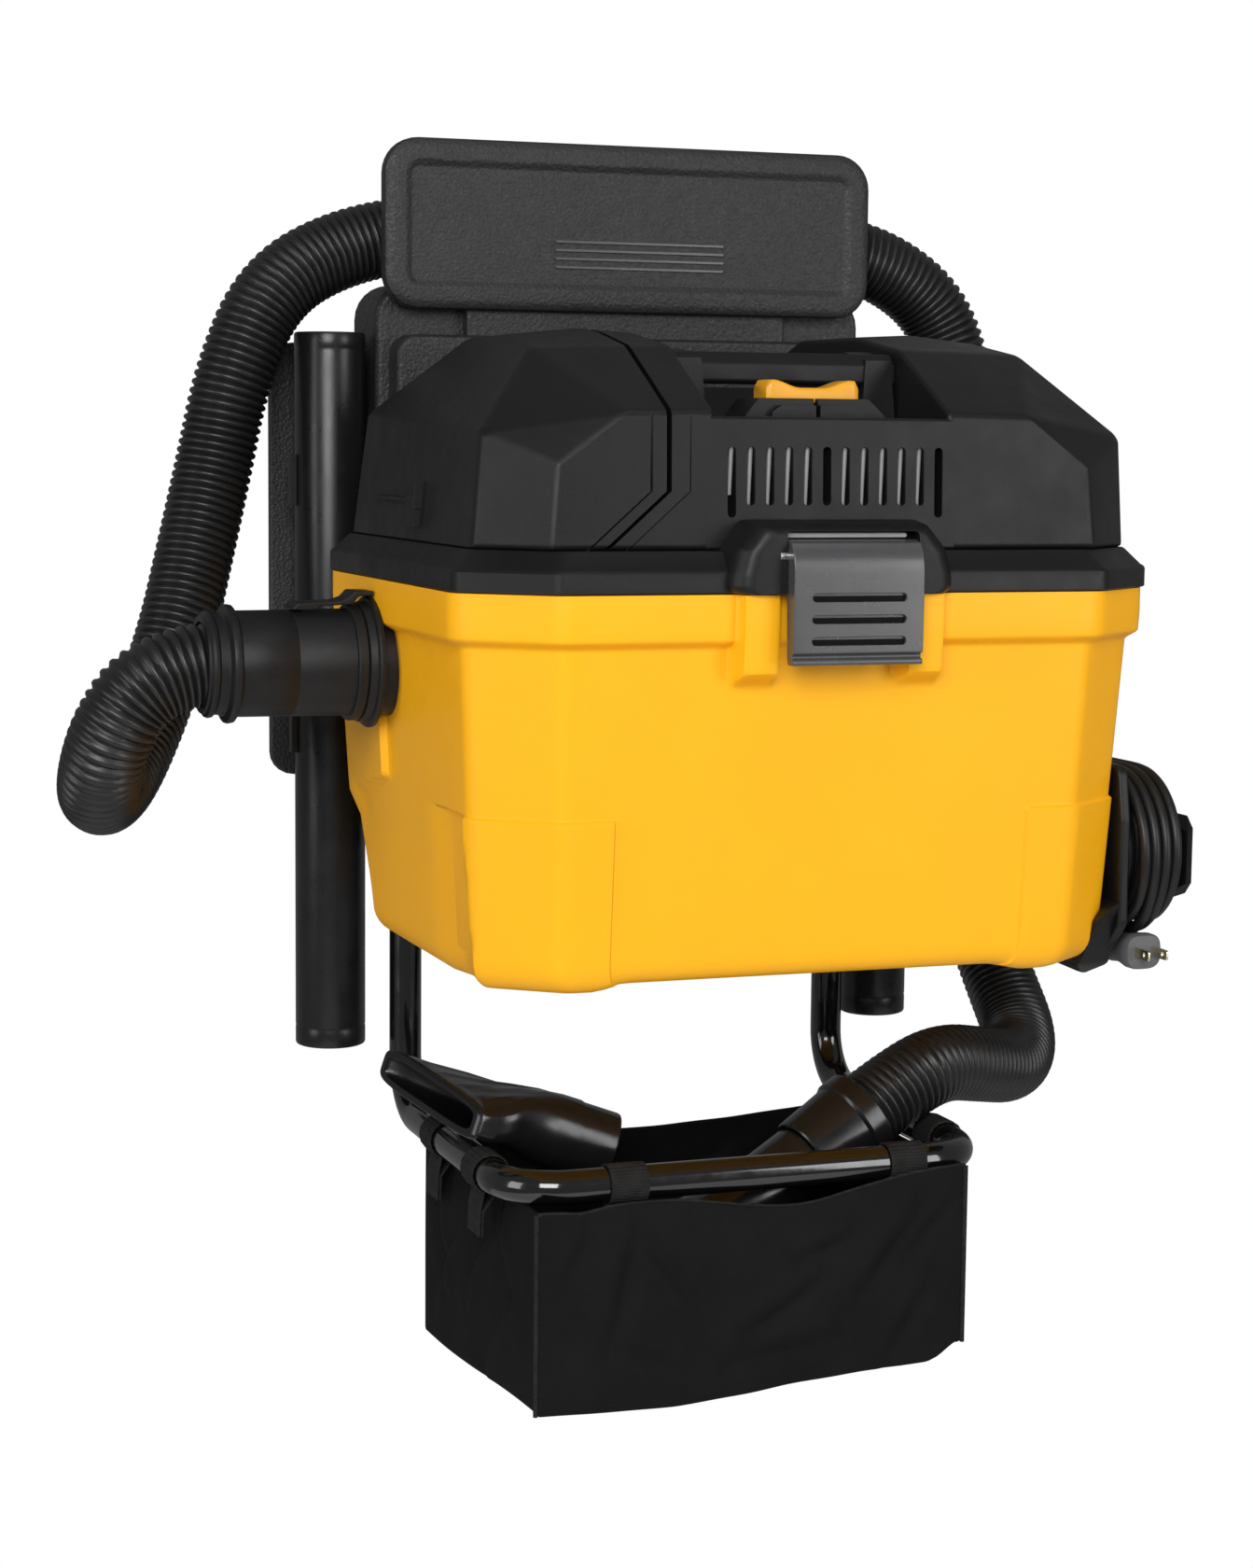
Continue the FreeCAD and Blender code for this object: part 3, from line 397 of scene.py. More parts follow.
def carved(thing, tools, operation="DIFFERENCE"):
    """Cuts, joins or crosses an object with tools, which are then gone."""
    for tool in tools:
        change = thing.modifiers.new("carve", "BOOLEAN")
        change.operation, change.solver, change.object = operation, "EXACT", tool
        applied(thing)
        bpy.data.objects.remove(tool)
    return thing


def rounded(thing, width, segments=3, turn=30):
    """Rounds the sharp edges by a width in millimetres and applies it."""
    change = thing.modifiers.new("round", "BEVEL")
    change.width, change.segments = width * 0.001, segments
    change.limit_method, change.angle_limit = "ANGLE", math.radians(turn)
    change.use_clamp_overlap = True
    return applied(thing)


def finished(thing, turn=32):
    """Sets the shading once the shape is done, weighted by face size so that flats stay flat."""
    shaded(thing.data, turn)
    change = thing.modifiers.new("normals", "WEIGHTED_NORMAL")
    change.keep_sharp = True
    return applied(thing)


def cleaned(thing):
    """Merges what a cut leaves doubled and joins faces that lie in one plane."""
    work = bmesh.new()
    work.from_mesh(thing.data)
    bmesh.ops.remove_doubles(work, verts=work.verts, dist=0.00002)
    bmesh.ops.dissolve_limit(work, angle_limit=math.radians(0.5), verts=work.verts, edges=work.edges)
    work.to_mesh(thing.data)
    work.free()
    return thing


def hull(name, spots, finish):
    """The convex solid round the given points."""
    work = bmesh.new()
    corners = [work.verts.new(metres(*spot)) for spot in spots]
    bmesh.ops.convex_hull(work, input=corners)
    loose = [vert for vert in work.verts if not vert.link_faces]
    bmesh.ops.delete(work, geom=loose, context="VERTS")
    bmesh.ops.dissolve_limit(work, angle_limit=math.radians(0.6), verts=work.verts, edges=work.edges)
    mesh = bpy.data.meshes.new(name)
    work.to_mesh(mesh)
    work.free()
    return shown(name, mesh, finish)


def block(name, low, high, finish="black_plastic"):
    corners = [(x, y, z) for x in (low[0], high[0]) for y in (low[1], high[1]) for z in (low[2], high[2])]
    return hull(name, corners, finish)


def extruded(name, points, axis, span, finish="black_plastic"):
    """A flat outline given in the two other axes, drawn out along one axis."""
    rings = []
    for level in span:
        spots = {
            "x": lambda a, b: (level, a, b),
            "y": lambda a, b: (a, level, b),
            "z": lambda a, b: (a, b, level),
        }
        rings.append([spots[axis](*point) for point in points])
    return loft(name, rings, finish)


def round_corners(points, radius, steps=5):
    """A closed outline with each corner turned into an arc."""
    smooth = []
    for index, corner in enumerate(points):
        spot = Vector(corner)
        before, after = Vector(points[index - 1]), Vector(points[(index + 1) % len(points)])
        into, out = (before - spot).normalized(), (after - spot).normalized()
        half = into.angle(out) / 2
        reach = min(radius / math.tan(half), (before - spot).length * 0.49, (after - spot).length * 0.49)
        real = reach * math.tan(half)
        centre = spot + (into + out).normalized() * (real / math.sin(half))
        start, end = spot + into * reach - centre, spot + out * reach - centre
        turn = start.angle_signed(end)
        for step in range(steps + 1):
            share = -turn * step / steps
            arm = Vector(
                (
                    start.x * math.cos(share) - start.y * math.sin(share),
                    start.x * math.sin(share) + start.y * math.cos(share),
                )
            )
            smooth.append(tuple(centre + arm))
    return smooth


def rectangle(low, high):
    return [(low[0], low[1]), (high[0], low[1]), (high[0], high[1]), (low[0], high[1])]


def ring_frame(heading):
    """Two directions square to a heading."""
    heading = Vector(heading).normalized()
    side = heading.cross(Vector((0, 0, 1)))
    if side.length < 0.1:
        side = heading.cross(Vector((0, 1, 0)))
    side.normalize()
    return side, side.cross(heading).normalized()


def turned(name, profile, start, heading, finish, steps=56, turn=32):
    """A piece turned about a line from pairs of distance along it and radius, the inside included."""
    side, up = ring_frame(heading)
    start, heading = Vector(start), Vector(heading).normalized()
    rings = []
    for away, radius in profile:
        centre = start + heading * away
        rings.append(
            [
                tuple(centre + (side * math.cos(angle) + up * math.sin(angle)) * radius)
                for angle in (math.tau * step / steps for step in range(steps))
            ]
        )
    return loft(name, rings, finish, turn=turn, endless=True)


def steady_frames(line):
    """Points of a line with two directions square to it that never spin about it."""
    frames = []
    side = None
    for index, spot in enumerate(line):
        heading = (line[min(index + 1, len(line) - 1)] - line[max(index - 1, 0)]).normalized()
        if side is None:
            side = ring_frame(heading)[0]
        side = (side - heading * side.dot(heading)).normalized()
        frames.append((spot, side, heading.cross(side)))
    return frames


def swept(name, line, radii, finish, steps=24, turn=60):
    """A round skin along a line, in metres, with its own radius at each point."""
    spots = []
    for (spot, side, up), radius in zip(steady_frames(line), radii):
        for step in range(steps):
            angle = math.tau * step / steps
            spots.append(spot + (side * math.cos(angle) + up * math.sin(angle)) * radius)
    faces = []
    for level in range(len(line) - 1):
        for here in range(steps):
            there = (here + 1) % steps
            low, high = level * steps, (level + 1) * steps
            faces.append((low + here, low + there, high + there, high + here))
    faces.append(tuple(reversed(range(steps))))
    faces.append(tuple(range((len(line) - 1) * steps, len(line) * steps)))
    mesh = bpy.data.meshes.new(name)
    mesh.from_pydata(spots, [], faces)
    shaded(mesh, turn)
    return shown(name, mesh, finish)


def smooth_step(value, start, end):
    share = min(max((value - start) / (end - start), 0), 1)
    return share * share * (3 - 2 * share)


def between(value, low, high, soft):
    """One inside low to high and nothing outside, with soft edges."""
    return smooth_step(value, low - soft, low) * (1 - smooth_step(value, high, high + soft))


def placed(piece, body, slot, *nodes):
    """Says what the piece rides on and which CAD nodes it stands for; the slot is not used."""
    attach(piece, body)
    if nodes:
        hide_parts(*nodes)
    return piece


# ---------------------------------------------------------------- hose and cord

HOSE_ROUTE = [
    (-0.3212, -0.223, -0.053),
    (-0.338, -0.223, -0.053),
    (-0.3685, -0.2235, -0.066),
    (-0.385, -0.220, -0.093),
    (-0.390, -0.202, -0.122),
    (-0.384, -0.167, -0.142),
    (-0.364, -0.131, -0.133),
    (-0.340, -0.104, -0.094),
    (-0.318, -0.088, -0.042),
    (-0.303, -0.072, 0.008),
    (-0.287, -0.059, 0.066),
    (-0.274, -0.057, 0.126),
    (-0.2475, -0.051, 0.184),
    (-0.196, -0.042, 0.214),
    (-0.128, -0.0405, 0.227),
    (-0.035, -0.040, 0.229),
    (0.060, -0.040, 0.228),
    (0.148, -0.041, 0.224),
    (0.205, -0.042, 0.213),
    (0.250, -0.044, 0.180),
    (0.265, -0.050, 0.124),
    (0.267, -0.050, 0.040),
    (0.265, -0.052, -0.070),
    (0.264, -0.058, -0.170),
    (0.270, -0.076, -0.245),
    (0.280, -0.106, -0.301),
    (0.280, -0.144, -0.336),
    (0.254, -0.183, -0.349),
    (0.213, -0.211, -0.339),
    (0.174, -0.234, -0.330),
    (0.138, -0.250, -0.338),
    (0.100, -0.257, -0.3595),
]
HOSE_WIDE, RIB_PITCH, RIB_DEEP = 0.052, 0.0056, 0.0026

CORD_LEAD = [
    (0.2348, -0.172, 0.060),
    (0.260, -0.173, 0.057),
    (0.279, -0.178, 0.036),
    (0.279, -0.188, -0.006),
    (0.264, -0.202, -0.062),
    (0.249, -0.208, -0.102),
    (0.241, -0.210, -0.138),
    (0.230, -0.228, -0.160),
    (0.2245, -0.252, -0.170),
    (0.2240, -0.276, -0.180),
]
CORD_WIDE = 0.007
WRAP_Y, WRAP_Z = -0.335, -0.168
WRAP_STRAIGHT = 0.046
LAP_POINTS = 24
LAYERS = (0.0283, 0.0355, 0.0427, 0.0492)
LAPS_PER_LAYER = 4.25
COIL_LOW, COIL_HIGH = 0.2226, 0.2548


def curve_of(name, route, finish, radius=0.0, resolution=12):
    """One open NURBS spline whose control points are the route."""
    data = bpy.data.curves.new(name, "CURVE")
    data.dimensions = "3D"
    spline = data.splines.new("NURBS")
    spline.points.add(len(route) - 1)
    for point, spot in zip(spline.points, route):
        point.co = (*spot, 1)
    spline.order_u = 3
    spline.use_endpoint_u = True
    spline.resolution_u = resolution
    data.bevel_depth = radius
    data.bevel_resolution = 5
    data.use_fill_caps = True
    data.materials.append(FINISHES[finish])
    thing = bpy.data.objects.new(name, data)
    bpy.context.scene.collection.objects.link(thing)
    return thing


def line_of(route, step):
    """Points a step apart along the smooth line of a route."""
    guide = curve_of("guide", route, "black_rubber", resolution=40)
    seen = bpy.context.evaluated_depsgraph_get()
    mesh = bpy.data.meshes.new_from_object(guide.evaluated_get(seen), depsgraph=seen)
    fine = [vert.co.copy() for vert in mesh.vertices]
    bpy.data.objects.remove(guide)
    line, left = [fine[0]], step
    for start, end in zip(fine, fine[1:]):
        run = (end - start).length
        while run >= left > 0:
            start = start.lerp(end, left / run)
            line.append(start)
            run = (end - start).length
            left = step
        left -= run
    return line


def make_hose():
    """A corrugated tube: each rib is a round crest between two narrow valleys."""
    per_rib = 6
    line = line_of(HOSE_ROUTE, RIB_PITCH / per_rib)
    radii = []
    for index in range(len(line)):
        share = (index % per_rib) / per_rib
        crest = 0.5 + 0.5 * math.cos(math.tau * share)
        radii.append(HOSE_WIDE / 2 - RIB_DEEP * (1 - crest) ** 1.6)
    hose = swept("corrugated_hose", line, radii, "hose_black", steps=40, turn=75)
    placed(hose, "vacuum", "hose_black", "hose")
    return hose, line


def on_wrap(share, radius):
    """Y and Z of the point a share of a lap round the wrap's core, clockwise from its top."""
    bend = math.pi * radius
    away = share % 1 * 2 * (bend + WRAP_STRAIGHT)
    if away < bend:
        angle, middle = math.pi / 2 - away / radius, WRAP_STRAIGHT / 2
    elif away < bend + WRAP_STRAIGHT:
        angle, middle = -math.pi / 2, WRAP_STRAIGHT / 2 - (away - bend)
    elif away < 2 * bend + WRAP_STRAIGHT:
        angle, middle = -math.pi / 2 - (away - bend - WRAP_STRAIGHT) / radius, -WRAP_STRAIGHT / 2
    else:
        angle, middle = math.pi / 2, away - 2 * bend - WRAP_STRAIGHT * 1.5
    return WRAP_Y + middle + radius * math.cos(angle), WRAP_Z + radius * math.sin(angle)


def winding_points():
    """The wound cord: layers of turns round the wrap, out and back, the last of them hanging loose."""
    points = []
    first_share = 0.265
    count = round(LAPS_PER_LAYER * LAP_POINTS)
    for number, radius in enumerate(LAYERS):
        before = LAYERS[max(number - 1, 0)]
        for step in range(count):
            laps = number * LAPS_PER_LAYER + step / LAP_POINTS
            reach = before + (radius - before) * smooth_step(step, 0, LAP_POINTS * 0.9)
            y, z = on_wrap(first_share + laps, reach)
            share = step / count if number % 2 == 0 else 1 - step / count
            x = COIL_LOW + (COIL_HIGH - COIL_LOW) * share
            if number == len(LAYERS) - 1:
                hang = smooth_step(step, 0, count * 0.4) * (1 - smooth_step(step, count * 0.8, count))
                hang *= smooth_step(WRAP_Z - z, -0.02, 0.05)
                z -= hang * (0.004 + 0.003 * math.sin(laps * 2.2))
                x += hang * 0.0015 * math.sin(laps * 5.1)
            points.append((x, y, z))
    return points


def make_cord():
    """The mains cord: the lead from the head, the wound turns and the tail to the plug."""
    tail = [
        (0.2330, -0.262, -0.214),
        (0.2350, -0.284, -0.2285),
        (0.2365, -0.306, -0.2325),
        (0.2370, -0.330, -0.232),
        (0.2370, -0.352, -0.232),
    ]
    route = CORD_LEAD + winding_points() + tail
    cord = curve_of("mains_cord", route, "black_rubber", CORD_WIDE / 2, 8)
    placed(cord, "vacuum", "black_rubber", "cord_lead", "cord_coil")
    return cord


# ---------------------------------------------------------------- tub and lid


def octagon(half, front, back, corner, corner_y, back_corner):
    """Corners of the tub's plan, anticlockwise from above from the front edge's left end."""
    right = [(half - corner, -front), (half, -front + corner_y), (half, -back - back_corner)]
    right.append((half - back_corner, -back))
    return [(-right[0][0], right[0][1])] + right + [(-x, y) for x, y in reversed(right[1:])]


FRONT_MARKS = sorted(
    {sign * across for sign in (-1, 1) for across in (0, 12, 24, 34)}
    | {sign * (37 + 1.5 * step) for sign in (-1, 1) for step in range(23)}
    | {sign * across for sign in (-1, 1) for across in (80, 92, 106, 120, 128)}
    | {sign * (130.5 + 0.75 * step) for sign in (-1, 1) for step in range(5)}
    | {sign * across for sign in (-1, 1) for across in (140, 148)}
)
SIDE_MARKS = [-375, -350, -325, -300, -280, -260, -245, -236, -230, -226, -223, -220, -217, -214, -210]
SIDE_MARKS += [-204, -190, -175, -160, -150, -142, -136, -131]
MARKS_KEPT = -204


def side_marks(end):
    """Y of the marks along a side, the hindmost of them drawn together so that all lie on the edge."""
    share = (end - 1 - MARKS_KEPT) / (SIDE_MARKS[-1] - MARKS_KEPT)
    return [y if y <= MARKS_KEPT else MARKS_KEPT + (y - MARKS_KEPT) * share for y in SIDE_MARKS]


def plan_points(corners, soften):
    """The plan with rounded corners, its edges marked so that every level has the same points."""
    count = len(corners)
    arcs = [round_corners(corners, soften, 5)[index * 6 : index * 6 + 6] for index in range(count)]
    side = side_marks(arcs[3][0][1])
    marks = {
        0: [(x, corners[0][1]) for x in FRONT_MARKS],
        2: [(corners[2][0], y) for y in side],
        count - 2: [(corners[-1][0], y) for y in reversed(side)],
    }
    points = []
    for index in range(count):
        points += arcs[index]
        start, end = Vector(arcs[index][-1]), Vector(arcs[(index + 1) % count][0])
        points += marks.get(index, [tuple(start.lerp(end, share / 5)) for share in range(1, 5)])
    return points


def tub_plan(level):
    """The tub's plan at a height: it tapers towards its floor."""
    share = max((level + 27) / (-222 + 27), -0.05)
    top_sizes, low_sizes = (215, 437, 115, 48, 39), (204.5, 421, 125, 42, 34)
    sizes = [top + (low - top) * share for top, low in zip(top_sizes, low_sizes)]
    return octagon(*sizes, 10 + 24 * smooth_step(share, 0.55, 1))


def tub_swell(x, y, z):
    """How far the tub's skin stands out from its tapered plan: rim, pillars, pads and panels."""
    front = y < -400
    rim = smooth_step(z, -33, -26.5)
    swell = 7.5 * rim
    if front and abs(x) < 80:
        pillar = between(abs(x), 42, 62, 4.5) * smooth_step(z, -56, -45)
        swell = max(swell, 16 * pillar)
    panel = 1 - smooth_step(z, -132.6, -130.4)
    if front or (abs(x) > 165 and y < -386):
        swell += 2.3 * panel * smooth_step(abs(x), 131, 133)
    if y > -386:
        swell -= 4.5 * panel * smooth_step(y, -386, -372)
    if x < -185 and y > -330:
        slant = -124 - (y + 220) * 0.25
        pad = between(y, -220, -90, 4) * smooth_step(z, slant - 4, slant)
        swell = max(swell, 5.0 * pad)
    return swell


def tub_levels():
    """Heights of the tub's rings, close together where its skin steps in or out."""
    levels = [-0.6, -1.0, -1.8, -3.0, -8, -16, -23, -26]
    levels += [-26 - 1.0 * step for step in range(1, 9)]
    levels += [-36 - 2.0 * step for step in range(1, 14)]
    levels += [-66, -72, -80, -90, -100, -108]
    levels += [-110 - 2.0 * step for step in range(1, 10)]
    levels += [-129.2, -130, -130.8, -131.6, -132.4, -133.2, -134, -136, -144, -160, -178, -196, -208, -216]
    return levels


def ring_at(level, inside=0.0, swell=1.0):
    """The tub's outline at a height, drawn in by inside, with a share of its steps."""
    points = plan_points(tub_plan(level), 15)
    ring = []
    count = len(points)
    for index, (x, y) in enumerate(points):
        ahead = Vector(points[(index + 1) % count]) - Vector(points[index - 1])
        out = Vector((ahead.y, -ahead.x)).normalized()
        away = tub_swell(x, y, level) * swell - inside
        ring.append((x + out.x * away, y + out.y * away, level))
    return ring


def shrunk(ring, inset, level):
    """The same ring drawn in towards its middle and put at another height."""
    middle = Vector((0, -276))
    moved = []
    for x, y, _ in ring:
        arm = Vector((x, y)) - middle
        moved.append((x - inset * arm.x / 215, middle.y + arm.y - inset * arm.y / 160, level))
    return moved


def make_tub():
    """The open yellow tub: its outer skin, its rounded floor and its smooth inside."""
    rings = [ring_at(level) for level in tub_levels()]
    last = rings[-1]
    for turn in range(1, 8):
        angle = math.radians(90 * turn / 7)
        inset = 15 * (1 - math.cos(angle))
        ring = shrunk(last, inset, -216 - 14 * math.sin(angle))
        rings.append([(x, y, z - 4 * foot_drop(x) * math.sin(angle)) for x, y, z in ring])
    floor = rings[-1]
    for inset in (60, 120):
        depth = 4 if inset < 61 else 0
        rings.append([(x, y, -230 - depth * foot_drop(x)) for x, y, _ in shrunk(floor, inset, 0)])
    inner = [ring_at(-0.6, 4.0)]
    inner += [ring_at(level, 3.6, 0.0) for level in (-40, -100, -160, -214)]
    inner += [shrunk(inner[-1], 10, -226), shrunk(inner[-1], 60, -227), shrunk(inner[-1], 120, -227)]
    skin_rings = list(reversed(rings)) + inner
    tub = loft("yellow_tub", skin_rings, "yellow_plastic", turn=38)
    return placed(tub, "vacuum", "yellow_plastic", "tub")


def foot_drop(x):
    """The four corners of the tub's floor stand a little lower than its middle."""
    return smooth_step(abs(x), 118, 140)


def lid_ring(inset, level):
    """The lid's outline at a height, drawn in by inset."""
    points = plan_points(octagon(223, 446, 107, 50, 41, 10), 13)
    return shrunk([(x, y, level) for x, y in points], inset, level)


def make_lid():
    """The black band that closes the tub, and its underside."""
    rings = [lid_ring(9, 0.0), lid_ring(0.7, 0.0), lid_ring(0, 0.7), lid_ring(0, 11.5), lid_ring(0.8, 13.0)]
    rings += [lid_ring(2.2, 13.9), lid_ring(9.5, 22.8), lid_ring(10.6, 23.9), lid_ring(13, 24.2)]
    rings += [lid_ring(26, 24.2), lid_ring(26, 10)]
    lid = loft("lid_rim", rings, "head_black", turn=30, caps=(False, True))
    rings = [lid_ring(9, 0.0), lid_ring(26, 0.0), lid_ring(26, -0.2)]
    under = loft("lid_under", rings, "head_black", caps=(False, True))
    return lid, under


HOOD_OUTLINE = [(-73, 0), (-72, 12), (-68, 27), (-57, 41), (53, 41), (65, 27), (69.5, 12), (70.5, 0)]


def make_hood():
    """The hooded boss on the lid that the latch hangs in."""
    outer = round_corners(HOOD_OUTLINE, 7, 4)
    middle = sum((Vector(spot) for spot in outer), Vector((0, 0))) / len(outer)

    profile = [(1.03, -429), (1.0, -440), (0.985, -447), (0.955, -452.5), (0.90, -456.5), (0.86, -458)]
    profile.append((0.80, -458.6))
    rings = [
        [(middle.x + (x - middle.x) * share, y, z if z < 2 else 2 + (z - 2) * share) for x, z in outer]
        for share, y in profile
    ]
    hood = loft("latch_hood", rings, "head_black")
    outline = round_corners(rectangle((-39.5, -10), (43.3, 36)), 3)
    carved(hood, [extruded("notch", outline, "y", (-480, -445.5))])
    rounded(hood, 0.8, 2, 50)
    return finished(hood)


# ---------------------------------------------------------------- head

HUMP = [
    (74, -431, 24.2),
    (172, -431, 24.2),
    (210, -397, 24.2),
    (210, -128, 24.2),
    (194, -118, 24.2),
    (74, -118, 24.2),
    (74, -429, 104),
    (127, -429, 103),
    (168, -429, 73),
    (205, -398, 91),
    (203, -140, 101),
    (160, -348, 141),
    (118, -355, 142),
    (74, -356, 143),
    (160, -290, 149),
    (154, -200, 149),
    (112, -290, 154),
    (112, -200, 154),
    (74, -290, 152),
    (74, -200, 152),
    (150, -152, 134),
    (74, -146, 136),
]
CENTRE = [(-431, 24.2), (-429, 101), (-416.5, 101), (-413, 95), (-352, 95), (-200, 100), (-160, 122)]
CENTRE += [(-124, 112), (-118, 24.2)]
SEAM = [(-103, 160), (-103, 58), (-146, 20)]
SLOT_PITCH, SLOT_WIDE, SLOT_MIDDLE = 11.9, 5.2, 2.4


def seam_zone(shift):
    """The part of the head on the cover's side of the seam, grown by a shift."""
    outline = [(across + shift, up) for across, up in SEAM] + [(-240, 20), (-240, 160)]
    return extruded("zone", outline, "y", (-440, -100), "head_black")


def seam_groove(shift, wide, deep):
    """A thin bent strip beside the seam that cuts a groove into the head's front."""
    left = [(across + shift, up) for across, up in SEAM]
    right = [(across + shift + wide, up) for across, up in reversed(SEAM)]
    return extruded("groove", left + right, "y", (-440, -430.6 + deep))


def make_head():
    """Two facetted humps and the sunk middle between them, with slots, a seam and soft edges."""
    left = hull("left_hump", [(-x, y, z) for x, y, z in HUMP], "head_black")
    right = hull("right_hump", HUMP, "head_black")
    middle = extruded("middle", CENTRE, "x", (-80, 80), "head_black")
    for side in (left, right):
        rounded(side, 3.2, 3, 12)
    rounded(middle, 2.2, 3, 25)
    right.name = "motor_cover_shell"
    carved(right, [middle], "UNION")
    zone = seam_zone(0.0)
    door = left.copy()
    door.data = left.data.copy()
    bpy.context.scene.collection.objects.link(door)
    door.name = "side_cover_shell"
    carved(door, [zone], "INTERSECT")
    carved(door, [seam_groove(-10, 1.4, 2.4)])
    carved(left, [seam_zone(3.0)])
    carved(right, [left], "UNION")
    slots = []
    for number in range(12):
        across = SLOT_MIDDLE + (number - 5.5) * SLOT_PITCH
        low = 43 if number in (0, 11) else 50
        outline = rectangle((across - SLOT_WIDE / 2, low), (across + SLOT_WIDE / 2, 84))
        slots.append(extruded("slot", round_corners(outline, SLOT_WIDE / 2.05, 5), "y", (-450, -421)))
    carved(right, [*slots, seam_groove(14, 0.8, 1.8)])
    for shell in (right, door):
        cleaned(shell)
        rounded(shell, 0.7, 2, 48)
        finished(shell, 34)
    return right, door


def make_side_catch():
    """The small catch low on the head's left side: a ledge, a block and an upright nib."""
    catch = block("side_catch", (-213.5, -288, 33), (-204, -270, 52), "head_black")
    nib = block("nib", (-213, -289.5, 44), (-205, -287, 61))
    ledge = block("ledge", (-212.5, -272, 48), (-204, -190, 50.5))
    carved(catch, [nib, ledge], "UNION")
    return finished(rounded(catch, 0.5, 2, 40))


def make_vent_backs():
    """Curved pale ribs that show behind most of the slots."""
    backs = []
    turns = [math.tau * step / 12 for step in range(12)]
    for number in range(12):
        if number in (5, 11):
            continue
        across = SLOT_MIDDLE + (number - 5.5) * SLOT_PITCH + 0.5
        low = 56 if number == 0 else 49
        rings = []
        for level in range(9):
            z = low + (86 - low) * level / 8
            middle = across - 0.7 + 1.4 * level / 8
            ring = [(middle + 1.5 * math.cos(turn), -425.2 + 1.4 * math.sin(turn), z) for turn in turns]
            rings.append(ring)
        backs.append(loft(f"vent_rib_{number + 1}", rings, "vent_grey"))
    return backs


def make_vent_shade_sheet():
    """A near-black sheet behind the slots: painted shade for the dark space there."""
    return block("vent_shade_sheet", (-68, -423.4, 40), (73, -422.6, 87), "deep_black")


# ---------------------------------------------------------------- latch, switch and handle


GROOVE_LEVELS = (-1.5, -14, -26.5)


def make_latch():
    """A plate that rolls back at its top, with three deep grooves and a lip along its bottom."""
    profile = [(-459, -40.5), (-466.5, -40.5), (-467.5, -39.4), (-467.2, -37.4), (-464.6, -36.4)]
    profile += [(-464.6, -34.6), (-467.6, -33.4), (-468.2, 12), (-467.8, 17), (-466, 24), (-462, 29.6)]
    profile += [(-455, 31.4), (-451, 27), (-450, 22), (-453, 14), (-456, 12), (-457.5, -36)]
    # latch_grey is lighter than the latch's own grey: partly painted reflection.
    latch = extruded("latch_plate", profile, "x", (-38.8, 42.6), "latch_grey")
    rounded(latch, 0.8, 3, 25)
    grooves = []
    for level in GROOVE_LEVELS:
        outline = round_corners(rectangle((-27.5, level - 2.5), (31.5, level + 2.5)), 2.45, 6)
        grooves.append(extruded("groove", outline, "y", (-480, -465.4)))
    carved(latch, grooves)
    rounded(latch, 0.3, 2, 60)
    return finished(latch, 30)


def make_latch_shade_and_highlight():
    """Near-black strips at the bottom of the latch's grooves, painted shade for the grooves' depth, and a
    pale bar over its roll, a painted highlight along its top edge.
    """
    groove_shade_strips = []
    for number, level in enumerate(GROOVE_LEVELS, 1):
        # Each strip is a near-black sheet on a groove's floor: painted shade.
        low, high = (-27.3, -465.9, level - 2.3), (31.3, -465.2, level + 0.9)
        groove_shade_strips.append(block(f"latch_groove_shade_{number}", low, high, "deep_black"))
    # The pale bar over the latch's roll is a painted highlight along its top edge.
    outline = round_corners(rectangle((-43, 32.2), (38, 35.0)), 1.3, 4)
    bar = extruded("latch_top_highlight", outline, "y", (-452, -449), "vent_grey")
    return groove_shade_strips, rounded(bar, 0.4, 2, 40)


def make_switch_base():
    """The black saddle under the rocker, split by a slit, on the bezel's feet."""
    outline = round_corners([(-46, 96), (-45, 102), (-37, 112), (33, 112), (43, 103), (46, 96)], 2.2, 3)
    base = extruded("switch_base", outline, "y", (-405, -371), "head_black")
    outline = round_corners([(-30, 93), (-30, 104), (-24, 108), (22, 108), (28, 104), (28, 93)], 2, 3)
    step = extruded("step", outline, "y", (-409, -400), "head_black")
    carved(base, [step], "UNION")
    slit = block("slit", (-2.2, -415, 80), (0.6, -398, 116))
    room = block("room", (-32.2, -400.4, 103), (32.2, -375.6, 130))
    carved(base, [slit, room])
    rounded(base, 0.8, 2, 30)
    return finished(base)


def make_rocker():
    """The yellow rocker: a saddle that dips in the middle and rises at its ends."""
    rings = []
    for level in range(25):
        x = -29.5 + 59 * level / 24
        share = abs(x) / 29.5
        top = 118.4 + 4.6 * smooth_step(share, 0.25, 0.85) - 3.2 * smooth_step(share, 0.9, 1.0)
        narrow = 11.2 - 1.6 * smooth_step(share, 0.92, 1.0)
        outline = [(-narrow, 109), (narrow, 109), (narrow, top), (-narrow, top)]
        rings.append([(x, -388 + y, z) for y, z in round_corners(outline, 2.4, 4)])
    return loft("rocker_cap", rings, "switch_yellow", turn=40)


def make_handle():
    """The carry bar across the sunk middle with its facetted bosses."""
    corners = [(-353, 121), (-321, 121), (-321, 134), (-328, 140), (-346, 140), (-353, 133)]
    bar_outline = round_corners(corners, 3, 4)
    bar = extruded("carry_bar", bar_outline, "x", (-73.4, 73.4), "head_black")
    parts = []
    for sign in (-1, 1):
        low, high = sorted((sign * 50.5, sign * 73.4))
        parts.append(hull("boss", [
            (low, -356, 96), (high, -356, 96), (low, -318, 98), (high, -318, 98),
            (low + 3, -354, 136), (high - 3, -354, 136), (low + 3, -320, 142), (high - 3, -320, 142),
        ], "head_black"))
    carved(bar, parts, "UNION")
    rounded(bar, 1.4, 2, 30)
    return finished(bar)


# ---------------------------------------------------------------- bracket, hook panel, clips and wands


